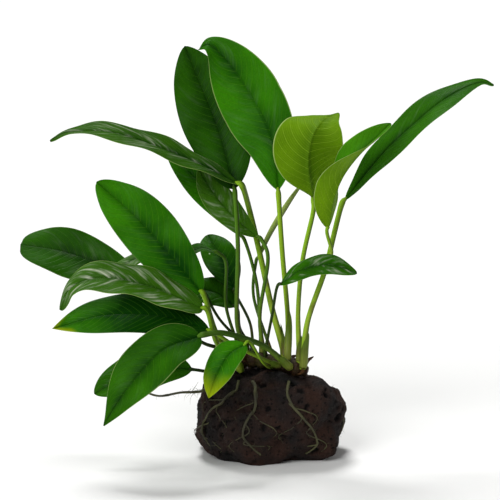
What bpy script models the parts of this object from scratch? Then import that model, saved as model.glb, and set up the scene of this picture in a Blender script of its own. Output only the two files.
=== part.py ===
"""A broad-leaved water plant that grows on a lava stone.

The stone stands on its flat underside, with its middle at the origin. The rhizome lies in a hollow
across the top of the stone. Leaf stems rise from it, each with one blade, and roots creep down over
the stone. The viewer's side is -Y. Lengths here are in millimetres until a mesh is made.
"""
import math
from collections import namedtuple

import bmesh
import bpy
from mathutils import Vector, noise
from mathutils.bvhtree import BVHTree

MM = 0.001

# Stone
STONE_HALF = Vector((38.0, 31.0, 27.0))
STONE_MIDDLE_Z = 17.0
STONE_LUMP_SIZE = 20.0
STONE_LUMP_HEIGHT = 8.0
STONE_BACK_RIDGE = 5.0
STONE_HOLLOW_RADIUS = 8.0
STONE_HOLLOW_GAP = 1.6
STONE_LUMP_PLACE = Vector((3.1, 0.4, 7.7))
STONE_CELLS = 4
OUTSIDE_STONE = 90.0

# Rhizome
RHIZOME_PATH = ((19, -10, 44), (10, -8, 46.5), (0, -3, 48), (-10, 3, 47.5), (-20, 7, 45))
RHIZOME_RADIUS = 4.0
RHIZOME_KNOTS = 7
RHIZOME_KNOT_HEIGHT = 0.35
RHIZOME_POINTS = 29
RHIZOME_END_SHARE = 0.62
RHIZOME_END_TAPER = 3.2
TOUCH_GAP = 0.5

# Leaves
BLADE_THICKNESS = 0.7
BLADE_BASE_HALF = 0.9
BLADE_TIP_HALF = 0.25
BLADE_ROWS = 10
BLADE_COLUMNS = 4
STEM_SECTIONS = 11
STEM_SHEATH_SWELL = 1.3
STEM_SHEATH_SHARE = 0.3
STEM_KNEE_SWELL = 1.12
KNEE_LENGTH = 2.5
SIDE_SHOOT_OFFSET = Vector((0.6, -3.2, 0))

# seat: share of the rhizome's length from its right end, and degrees from straight up towards the
# viewer. stem: width, then places that it passes. blade: places along its midrib, from base to tip.
# widest: the share of its length where it is widest. ends: how sharp its base and its tip are, from
# 0.4, round, to 1, a wedge.
# faces: where the upper side looks, from the base to the tip. fold: degrees that each half rises
# from the midrib. curl: degrees that each half then bends back by its margin.
Leaf = namedtuple("Leaf", "seat stem_width stem blade width widest ends faces fold curl")
LEAVES = {
    "crown_back": Leaf(
        (0.80, -12), 2.3, ((-16.5, 0, 68), (-16, -3, 105)),
        ((-18, 2, 135), (-25, 14, 161), (-37, 24, 190), (-43, 28, 204)),
        34, 0.50, (0.55, 0.66), ((-0.05, -0.95, 0.25), (-0.1, -0.9, 0.4)), 12, 14),
    "crown_front": Leaf(
        (0.26, 25), 2.5, ((9, -4, 70), (6, -6, 105)),
        ((4, -3, 135), (1.5, 3, 159), (-9, 10, 180), (-21, 13, 197.5), (-30, 14, 205.5),
         (-36, 17, 203)),
        36.5, 0.49, (0.75, 0.95), ((-0.35, -1, 0), (-0.5, -1, 0), (-0.2, -0.7, 0.7)), 18, 10),
    "crown_left_arch": Leaf(
        (0.36, -40), 2.9, ((1, 5, 74), (-5, 14, 100), (-10, 16, 121)),
        ((-16, -1, 138), (-39, -3, 150), (-73, -6, 163), (-97, -8, 165), (-108.5, -8, 160.5)),
        20, 0.47, (0.6, 0.7), ((-0.2, -0.35, 0.92), (-0.4, -0.35, 0.85)), 14, 16),
    "young_cupped": Leaf(
        (0.15, 5), 2.4, ((14, -9, 75), (16, -12, 101), (21, -10, 124)),
        ((21, -8, 132), (18.5, -13, 147), (19, -15, 158), (22, -12.5, 166), (27, -7, 171),
         (34, -2, 173.5)),
        35.5, 0.50, (1.1, 0.8),
        ((-0.2, 1, 0.1), (-0.2, 1, 0.1), (-0.2, 1, 0), (-0.1, 0.8, -0.4), (0, 0.4, -0.9),
         (0.2, 0.15, -0.9)), 10, 6),
    "young_folded": Leaf(
        None, 1.8, (),
        ((28, -22, 119), (31, -26.5, 136.5), (39, -25.5, 151.5), (59, -13, 169.5)),
        24, 0.47, (0.7, 0.7),
        ((-0.5, 0.8, 0.3), (-0.7, 0.6, 0.5), (-0.6, -0.4, 0.8), (-0.4, -0.7, 0.5)), 28, -4),
    "far_right": Leaf(
        (0.07, 40), 2.7, ((18.5, -16, 71), (27, -16, 97), (32, -13, 117)),
        ((37, -8, 131), (58, -4, 156), (84, 6, 177.5), (103, 13, 186.5), (112, 16, 185)),
        20, 0.52, (0.62, 0.62), ((-0.35, -0.55, 0.75), (-0.3, -0.45, 0.85)), 12, 12),
    "low_right": Leaf(
        (0.50, 30), 1.5, ((1, -13, 74),),
        ((5, -22, 91), (15, -27, 99), (29, -31, 102.5), (42, -33, 98.5)),
        14, 0.52, (0.6, 0.5), ((-0.1, -0.6, 0.8), (0.2, -0.6, 0.8)), 10, 14),
    "left_main": Leaf(
        (0.86, 45), 2.6, ((-26, -17, 64),),
        ((-34, -22, 87), (-46, -19, 101), (-64, -12, 121), (-78, -7, 133), (-86, -5, 139.5)),
        28, 0.52, (0.48, 0.6), ((-0.2, -0.9, 0.3), (-0.25, -0.85, 0.45)), 12, 12),
    "far_left": Leaf(
        (0.95, -20), 1.8, ((-36, 6, 57), (-54, 9, 78)),
        ((-62, 11, 85), (-80, 15, 92), (-104, 19, 100), (-127, 21, 103.5)),
        27, 0.60, (0.75, 0.38), ((-0.1, -0.75, 0.6), (-0.2, -0.75, 0.6)), 8, 12),
    "left_arch": Leaf(
        (0.97, 65), 2.4, ((-27, -22, 63),),
        ((-33, -28, 80), (-58, -33, 92), (-82, -35, 97), (-96.5, -35, 92), (-102, -34, 80.5)),
        24.5, 0.42, (0.5, 0.6), ((0, -0.5, 0.85), (-0.3, -0.45, 0.85), (-0.75, -0.45, 0.4)), 12, 14),
    "low_left": Leaf(
        (0.31, 80), 1.9, ((-5, -21, 54), (-18, -28, 62)),
        ((-30, -31, 70), (-52, -31, 77), (-80, -33, 78), (-106, -37, 72)),
        23, 0.51, (0.56, 0.85), ((0, -0.72, 0.68), (0, -0.72, 0.68)), 8, 10),
    "hidden_left": Leaf(
        (0.78, -50), 1.5, ((-25, 3, 68), (-34, 5, 84)),
        ((-44, 6, 97), (-59, 5, 101), (-73, 3, 96), (-85, 1, 84)),
        17, 0.48, (0.6, 0.8), ((0, -0.25, 0.95), (-0.6, -0.2, 0.7)), 10, 12),
    "front_low": Leaf(
        (0.20, 70), 2.8, ((-4, -24, 61), (-22, -38, 70)),
        ((-34, -44, 70), (-52, -51, 64.5), (-69, -59, 47), (-80, -62, 30)),
        28, 0.44, (0.5, 1.0), ((-0.35, -0.8, 0.5), (-0.5, -0.75, 0.4)), 10, 12),
    "back_low": Leaf(
        (0.93, 100), 1.7, ((-29, -8, 44),),
        ((-39, -12, 46), (-56, -15, 48), (-74, -20, 43), (-87, -23, 36)),
        21, 0.50, (0.6, 0.6), ((0, -0.9, 0.4), (-0.1, -0.85, 0.5)), 8, 10),
    "front_yellow": Leaf(
        (0.41, 100), 1.4, ((-4, -29, 54),),
        ((-12, -40, 65), (-20, -45, 61), (-26, -49, 52), (-30, -52, 41)),
        16, 0.44, (0.6, 0.8), ((-0.3, -0.8, 0.5), (-0.3, -0.85, 0.4)), 10, 12),
    "mid_small": Leaf(
        (0.66, 35), 1.5, ((-10, 5, 66),),
        ((-18, 14, 81), (-23, 23, 92), (-29, 33, 101.5), (-32, 39, 105.5)),
        18, 0.54, (0.6, 0.45), ((0, -0.85, 0.5), (0, -0.7, 0.7)), 10, 12),
    "mid_low": Leaf(
        (0.73, -5), 1.5, ((-15, 10, 62),),
        ((-18, 12, 73), (-26, 15, 79), (-34, 17, 81), (-43, 20, 83)),
        16, 0.50, (0.6, 0.7), ((0.1, -0.8, 0.6), (0.1, -0.8, 0.6)), 8, 10),
    "mid_hook": Leaf(
        (0.88, -50), 1.7, ((-22, 6, 74), (-22, 6, 96)),
        ((-28, 3, 103), (-34, 1, 105), (-40, -1, 103), (-46, -3, 98)),
        15, 0.45, (0.6, 0.8), ((0, -0.15, 0.98), (-0.4, -0.1, 0.9)), 10, 10),
    "centre_front": Leaf(
        (0.58, 0), 2.0, ((-5, 1, 72), (-1, 0, 99)),
        ((-6, 5, 110), (-18, 6, 120), (-29, 8, 133), (-36, 11, 144)),
        15.5, 0.55, (0.6, 0.7), ((-0.2, -0.8, 0.5), (-0.2, -0.8, 0.5)), 10, 12),
    "centre_back": Leaf(
        (0.66, -35), 1.8, ((-6, 12, 80), (-9, 15, 95)),
        ((-14, 18, 108), (-26, 20, 125), (-39, 23, 139), (-52, 25, 150)),
        17, 0.55, (0.7, 0.7), ((-0.2, -0.85, 0.45), (-0.2, -0.85, 0.45)), 10, 12),
    "furled": Leaf(
        (0.54, -60), 1.6, ((-8, 19, 76),),
        ((-6, 17, 97), (1, 15, 112), (11, 12, 129), (21, 8, 143)),
        3, 0.60, (0.6, 0.8), ((0, -1, 0), (0, -1, 0)), 0, 0),
}

# Bud: where it starts and ends, and its widest radius
BUD = ((-14.5, -3.5, 43), (-18.5, -6, 52), 2.4)
BUD_POINTS = 7
BUD_TIP_SHARE = 0.12

# Roots over the stone: width, then from and to, each as degrees round the stone (0 is +X, 90 is
# away from the viewer) and degrees up from its middle, and how far it wanders sideways in degrees.
CREEPING_ROOTS = {
    "root_front": (1.7, (-118, 54), (-100, -20), 9),
    "root_front_right": (1.5, (-66, 48), (-48, -24), -8),
    "root_front_left": (1.5, (-146, 50), (-150, -14), 8),
    "root_back": (1.7, (62, 50), (84, -22), 9),
    "root_back_left": (1.4, (112, 52), (138, -18), -8),
    "root_right": (1.3, (8, 44), (14, -20), 7),
}
ROOT_CLEARANCE = 0.5
ROOT_POINTS = 13
ROOT_TAPER = 0.5
LONG_ROOT_POINTS = 17
LONG_ROOT_WIDTH = 1.8
LONG_ROOT_PATH = ((-25, 7, 43.5), (-30, 0, 42), (-31, -12, 39), (-34, -25, 38), (-44, -32, 39),
                  (-54, -35, 38), (-61, -35, 40), (-67, -34, 43))
TUBE_SIDES = 1
CURVE_STEPS = 16

COLOURS = {
    "stone": ((0.030, 0.022, 0.020), 0.85),
    "rhizome": ((0.16, 0.11, 0.05), 0.55),
    "leaf": ((0.06, 0.17, 0.03), 0.35),
    "young leaf": ((0.22, 0.36, 0.05), 0.35),
    "stem": ((0.16, 0.24, 0.06), 0.45),
    "root": ((0.12, 0.10, 0.04), 0.65),
}
YOUNG = ("young_cupped", "young_folded", "furled")


def smooth_path(points, count):
    """Evenly spaced places on a smooth curve, a Catmull-Rom spline, through the given ones."""
    points = [Vector(point) for point in points]
    ends = [2 * points[0] - points[1]] + points + [2 * points[-1] - points[-2]]
    fine = []
    for before, start, end, after in zip(ends, ends[1:], ends[2:], ends[3:]):
        for step in range(CURVE_STEPS):
            t = step / CURVE_STEPS
            fine.append(0.5 * (2 * start + (end - before) * t
                               + (2 * before - 5 * start + 4 * end - after) * t ** 2
                               + (3 * start - before - 3 * end + after) * t ** 3))
    fine.append(points[-1])
    lengths = [0.0]
    for start, end in zip(fine, fine[1:]):
        lengths.append(lengths[-1] + (end - start).length)
    places = []
    segment = 0
    for index in range(count):
        along = lengths[-1] * index / (count - 1)
        while segment < len(fine) - 2 and lengths[segment + 1] < along:
            segment += 1
        span = lengths[segment + 1] - lengths[segment]
        places.append(fine[segment].lerp(fine[segment + 1], (along - lengths[segment]) / span))
    return places


def direction_at(path, index):
    return (path[min(index + 1, len(path) - 1)] - path[max(index - 1, 0)]).normalized()


def half_width(leaf, u):
    """Half the blade's width at a share u of its length."""
    crest = math.log(0.5) / math.log(leaf.widest)
    power = leaf.ends[0] + (leaf.ends[1] - leaf.ends[0]) * u
    swell = math.sin(math.pi * min(max(u, 0.0), 1.0) ** crest) ** power
    least = BLADE_BASE_HALF + (BLADE_TIP_HALF - BLADE_BASE_HALF) * u
    return max(leaf.width / 2 * swell, least)


def facing(leaf, u):
    """Where the blade's upper side looks at a share u of its length."""
    step = min(int(u * (len(leaf.faces) - 1)), len(leaf.faces) - 2)
    start, end = Vector(leaf.faces[step]), Vector(leaf.faces[step + 1])
    return start.normalized().lerp(end.normalized(), u * (len(leaf.faces) - 1) - step)


def blade_place(leaf, middle, along, u, v):
    """A place on the blade: u runs from base to tip, v from the left margin, -1, to the right, 1."""
    face = facing(leaf, u)
    side = along.cross(face).normalized()
    face = side.cross(along)
    half = half_width(leaf, u)
    tilt = math.radians(leaf.fold - leaf.curl * abs(v) / 2)
    reach = half * abs(v)
    return middle + side * math.copysign(reach * math.cos(tilt), v) + face * reach * math.sin(tilt)


def new_object(name, mesh, collection, colour):
    material = bpy.data.materials.new(name)
    material.use_nodes = True
    shader = material.node_tree.nodes["Principled BSDF"]
    shader.inputs["Base Color"].default_value = (*COLOURS[colour][0], 1)
    shader.inputs["Roughness"].default_value = COLOURS[colour][1]
    shader.inputs["Metallic"].default_value = 0.0
    mesh.materials.append(material)
    piece = bpy.data.objects.new(name, mesh)
    collection.objects.link(piece)
    return piece


def make_blade(name, leaf, collection):
    """An open sheet along the midrib, thickened by Solidify."""
    middles = smooth_path(leaf.blade, BLADE_ROWS)
    shape = bmesh.new()
    bmesh.ops.create_grid(shape, x_segments=BLADE_COLUMNS, y_segments=BLADE_ROWS - 1, size=1)
    for vert in shape.verts:
        row = round((vert.co.y + 1) / 2 * (BLADE_ROWS - 1))
        along = direction_at(middles, row)
        place = blade_place(leaf, middles[row], along, row / (BLADE_ROWS - 1), vert.co.x)
        vert.co = place * MM
    mesh = bpy.data.meshes.new(name)
    shape.to_mesh(mesh)
    shape.free()
    mesh.shade_smooth()
    colour = "young leaf" if name in YOUNG else "leaf"
    piece = new_object("blade_" + name, mesh, collection, colour)
    sheet = piece.modifiers.new("Thickness", "SOLIDIFY")
    sheet.thickness = BLADE_THICKNESS * MM
    sheet.offset = 0
    return piece


def make_tube(name, places, radii, collection, colour):
    curve = bpy.data.curves.new(name, "CURVE")
    curve.dimensions = "3D"
    curve.bevel_depth = MM
    curve.bevel_resolution = TUBE_SIDES
    curve.use_fill_caps = True
    line = curve.splines.new("POLY")
    line.points.add(len(places) - 1)
    for point, place, radius in zip(line.points, places, radii):
        point.co = (*(place * MM), 1)
        point.radius = radius
    return new_object(name, curve, collection, colour)


def rhizome_place(share, degrees):
    """A place on the rhizome and the way out of it there; degrees turn from up to the viewer."""
    path = smooth_path(RHIZOME_PATH, RHIZOME_POINTS)
    index = round(share * (RHIZOME_POINTS - 1))
    index = min(max(index, 1), RHIZOME_POINTS - 2)
    along = direction_at(path, index)
    viewer = along.cross(Vector((0, 0, 1))).normalized()
    if viewer.y > 0:
        viewer = -viewer
    up = viewer.cross(along)
    if up.z < 0:
        up = -up
    angle = math.radians(degrees)
    return path[index], up * math.cos(angle) + viewer * math.sin(angle)


def stem_path(leaf):
    """From the seat on the rhizome, or beside the far right stem, to just below the blade."""
    top = Vector(leaf.blade[0])
    along = (smooth_path(leaf.blade, BLADE_ROWS)[1] - top).normalized()
    top = top - along * TOUCH_GAP
    knee = top - along * KNEE_LENGTH
    if leaf.seat is None:
        lower, upper = LEAVES["far_right"].stem[1:3]
        foot = Vector(lower).lerp(Vector(upper), 0.5) + SIDE_SHOOT_OFFSET
        return [*smooth_path((foot, knee), STEM_SECTIONS - 1), top]
    centre, out = rhizome_place(*leaf.seat)
    reach = RHIZOME_RADIUS + RHIZOME_KNOT_HEIGHT + TOUCH_GAP
    foot = centre + out * reach
    route = (foot, foot + out * KNEE_LENGTH, *leaf.stem, knee)
    return [*smooth_path(route, STEM_SECTIONS - 1), top]


def make_stem(name, leaf, collection):
    """A round stem with a thicker sheath at its foot and a slight knee below the blade."""
    places = stem_path(leaf)
    radii = []
    for index in range(STEM_SECTIONS):
        u = index / (STEM_SECTIONS - 1)
        sheath = max(0.0, 1 - u / STEM_SHEATH_SHARE)
        swell = 1 + (STEM_SHEATH_SWELL - 1) * sheath
        if index == STEM_SECTIONS - 2:
            swell = STEM_KNEE_SWELL
        radii.append(leaf.stem_width / 2 * swell)
    return make_tube("stem_" + name, places, radii, collection, "stem")


def make_rhizome(collection):
    places = smooth_path(RHIZOME_PATH, RHIZOME_POINTS)
    radii = []
    for index in range(RHIZOME_POINTS):
        u = index / (RHIZOME_POINTS - 1)
        knot = math.cos(2 * math.pi * RHIZOME_KNOTS * u)
        end = min(1.0, RHIZOME_END_SHARE + RHIZOME_END_TAPER * min(u, 1 - u))
        radii.append((RHIZOME_RADIUS + RHIZOME_KNOT_HEIGHT * knot) * end)
    return make_tube("rhizome", places, radii, collection, "rhizome")


def make_bud(collection):
    """An egg shape, cut where it is widest at the foot and narrowing to its tip."""
    start, end, radius = Vector(BUD[0]), Vector(BUD[1]), BUD[2]
    shares = [step / (BUD_POINTS - 1) for step in range(BUD_POINTS)]
    places = [start.lerp(end, share) for share in shares]
    radii = [radius * max(BUD_TIP_SHARE, math.sin(math.pi * (1 + 3 * share) / 4)) for share in shares]
    return make_tube("growing_bud", places, radii, collection, "young leaf")


def make_stone(collection):
    """A lumpy ball with a flat underside and a hollow along its top for the rhizome."""
    shape = bmesh.new()
    bmesh.ops.create_icosphere(shape, subdivisions=STONE_CELLS, radius=1)
    bed = smooth_path(RHIZOME_PATH, RHIZOME_POINTS)
    for vert in shape.verts:
        out = vert.co.normalized()
        place = Vector([part * half for part, half in zip(out, STONE_HALF)])
        lump = noise.fractal(place / STONE_LUMP_SIZE + STONE_LUMP_PLACE, 1.0, 2.1, 3)
        place += out * (STONE_LUMP_HEIGHT * lump)
        place.z += STONE_MIDDLE_Z
        if out.z > 0:
            place.z += STONE_BACK_RIDGE * max(0.0, out.y) * out.z
        for middle in bed:
            flat = math.hypot(place.x - middle.x, place.y - middle.y)
            if flat < STONE_HOLLOW_RADIUS:
                depth = math.sqrt(STONE_HOLLOW_RADIUS ** 2 - flat ** 2)
                rise = STONE_HOLLOW_RADIUS - RHIZOME_RADIUS - STONE_HOLLOW_GAP
                floor = middle.z + rise - depth
                place.z = min(place.z, floor)
        vert.co = place * MM
    everything = shape.verts[:] + shape.edges[:] + shape.faces[:]
    bmesh.ops.bisect_plane(shape, geom=everything, plane_co=(0, 0, 0), plane_no=(0, 0, -1),
                           clear_outer=True)
    open_edges = [edge for edge in shape.edges if edge.is_boundary]
    bmesh.ops.holes_fill(shape, edges=open_edges, sides=0)
    bmesh.ops.triangulate(shape, faces=shape.faces[:])
    bmesh.ops.recalc_face_normals(shape, faces=shape.faces[:])
    mesh = bpy.data.meshes.new("stone")
    shape.to_mesh(mesh)
    ground = BVHTree.FromBMesh(shape)
    shape.free()
    return new_object("stone", mesh, collection, "stone"), ground


def creeping_root_path(ground, start, end, wander, width):
    """Places that follow the stone's surface from one bearing to another."""
    middle = Vector((0, 0, STONE_MIDDLE_Z))
    places = []
    for index in range(ROOT_POINTS):
        u = index / (ROOT_POINTS - 1)
        round_by = start[0] + (end[0] - start[0]) * u + wander * math.sin(2 * math.pi * u)
        up_by = start[1] + (end[1] - start[1]) * u
        bearing = math.radians(round_by)
        height = math.radians(up_by)
        out = Vector((math.cos(bearing) * math.cos(height), math.sin(bearing) * math.cos(height),
                      math.sin(height)))
        hit, normal, _, _ = ground.ray_cast((middle + out * OUTSIDE_STONE) * MM, -out)
        places.append(hit / MM + normal * (width / 2 + ROOT_CLEARANCE))
    return places


def root_radii(width, count):
    return [width / 2 * (1 - ROOT_TAPER * index / count) for index in range(count)]


def make_roots(ground, collection):
    for name, (width, start, end, wander) in CREEPING_ROOTS.items():
        places = creeping_root_path(ground, start, end, wander, width)
        make_tube(name, places, root_radii(width, len(places)), collection, "root")
    places = smooth_path(LONG_ROOT_PATH, LONG_ROOT_POINTS)
    make_tube("root_long", places, root_radii(LONG_ROOT_WIDTH, len(places)), collection, "root")


def main():
    for old in list(bpy.data.objects):
        bpy.data.objects.remove(old)
    collection = bpy.data.collections.new("anubias on stone")
    bpy.context.scene.collection.children.link(collection)
    stone, ground = make_stone(collection)
    make_rhizome(collection)
    make_bud(collection)
    for name, leaf in LEAVES.items():
        make_stem(name, leaf, collection)
        make_blade(name, leaf, collection)
    make_roots(ground, collection)


main()
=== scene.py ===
"""A water plant with broad, pointed leaves, grown on to a lava stone.

Every leaf is a stem and a blade. They follow the guide lines of the solid model: a stem's route from
its seat on the rhizome, and a blade's midrib. Guide lines and the sizes below are in millimetres, and
become metres on their way into a node tree. The viewer's side is -Y.
"""
import math
from collections import namedtuple

import bmesh
import bpy
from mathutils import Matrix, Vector
from mathutils.bvhtree import BVHTree

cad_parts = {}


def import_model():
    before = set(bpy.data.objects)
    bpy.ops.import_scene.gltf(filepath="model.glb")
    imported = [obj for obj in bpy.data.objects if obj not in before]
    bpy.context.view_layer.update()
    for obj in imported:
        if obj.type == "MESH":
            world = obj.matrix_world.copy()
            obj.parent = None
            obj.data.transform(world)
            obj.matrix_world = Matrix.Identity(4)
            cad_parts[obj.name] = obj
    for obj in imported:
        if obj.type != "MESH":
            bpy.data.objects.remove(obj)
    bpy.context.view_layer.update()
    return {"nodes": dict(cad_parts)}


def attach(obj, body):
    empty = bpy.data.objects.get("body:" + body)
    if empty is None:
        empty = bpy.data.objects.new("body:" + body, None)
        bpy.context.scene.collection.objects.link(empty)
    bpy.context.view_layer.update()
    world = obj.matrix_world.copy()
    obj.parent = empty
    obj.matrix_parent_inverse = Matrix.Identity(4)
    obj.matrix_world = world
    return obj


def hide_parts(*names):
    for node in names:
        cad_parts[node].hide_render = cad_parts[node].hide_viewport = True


MM = 0.001

# View: where the camera looks, how far off it stands, how high it looks from, how wide it sees
VIEW_CENTRE = Vector((-10.0, 0.0, 104.4))
VIEW_DISTANCE = 1100.0
VIEW_ELEVATION = 10.0
VIEW_WIDTH = 250.0
SENSOR_WIDTH = 36.0

# Rhizome
RHIZOME_PATH = ((19, -10, 44), (10, -8, 46.5), (0, -3, 48), (-10, 3, 47.5), (-20, 7, 45))
RHIZOME_RADIUS = 4.0
RHIZOME_KNOTS = 7
RHIZOME_KNOT_HEIGHT = 0.35
RHIZOME_POINTS = 29
RHIZOME_FINE_POINTS = 120
RHIZOME_END_SHARE = 0.55
RHIZOME_END_SWELL = 4.0
RHIZOME_SCARS = 17.0

# Leaves. Shares are of a blade's or a stem's own length or width, or of the rhizome's radius. The
# patterns of a blade's two halves have seeds that lie HALVES_APART.
ROLLED_WIDTH = 3
BLADE_THICKNESS = 0.6
BLADE_BASE_HALF = 0.9
BLADE_TIP_HALF = 0.25
BLADE_ROWS = 121
BLADE_COLUMNS = 73
RIB_HEIGHT_SHARE = 0.42
RIB_WIDTH_SHARE = 0.45
RIB_GROOVE = 0.35
VEIN_SPACING = 4.3
VEIN_LEAN = 0.13
VEIN_BEND = 0.10
VEIN_DEPTH = 0.06
UNEVENNESS = 0.9
HALVES_APART = 3.7
ROLL_FOOT = 0.62
ROLL_TIP_RADIUS = 0.1
STEM_POINTS = 90
STEM_SHEATH_SWELL = 1.3
STEM_SHEATH_SHARE = 0.3
STEM_KNEE_SWELL = 1.12
STEM_KNEE_AT = 0.955
STEM_KNEE_SPREAD = 0.03
STEM_NECK_FROM = 0.965
STEM_NECK_THINNING = 0.55
STEM_INTO_BLADE = 1.5
SEAT_SHARE = 0.7
KNEE_LENGTH = 2.5
SIDE_SHOOT_AT = 0.5
SIDE_SHOOT_LENGTH = 0.2
SIDE_SHOOT_OFFSET = Vector((0.6, -3.2, 0))
# A stem's finish paints light on the side that faces these ways and shade on the far side
SUN_FROM_LEFT = 0.85
SUN_FROM_FRONT = 0.35

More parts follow.
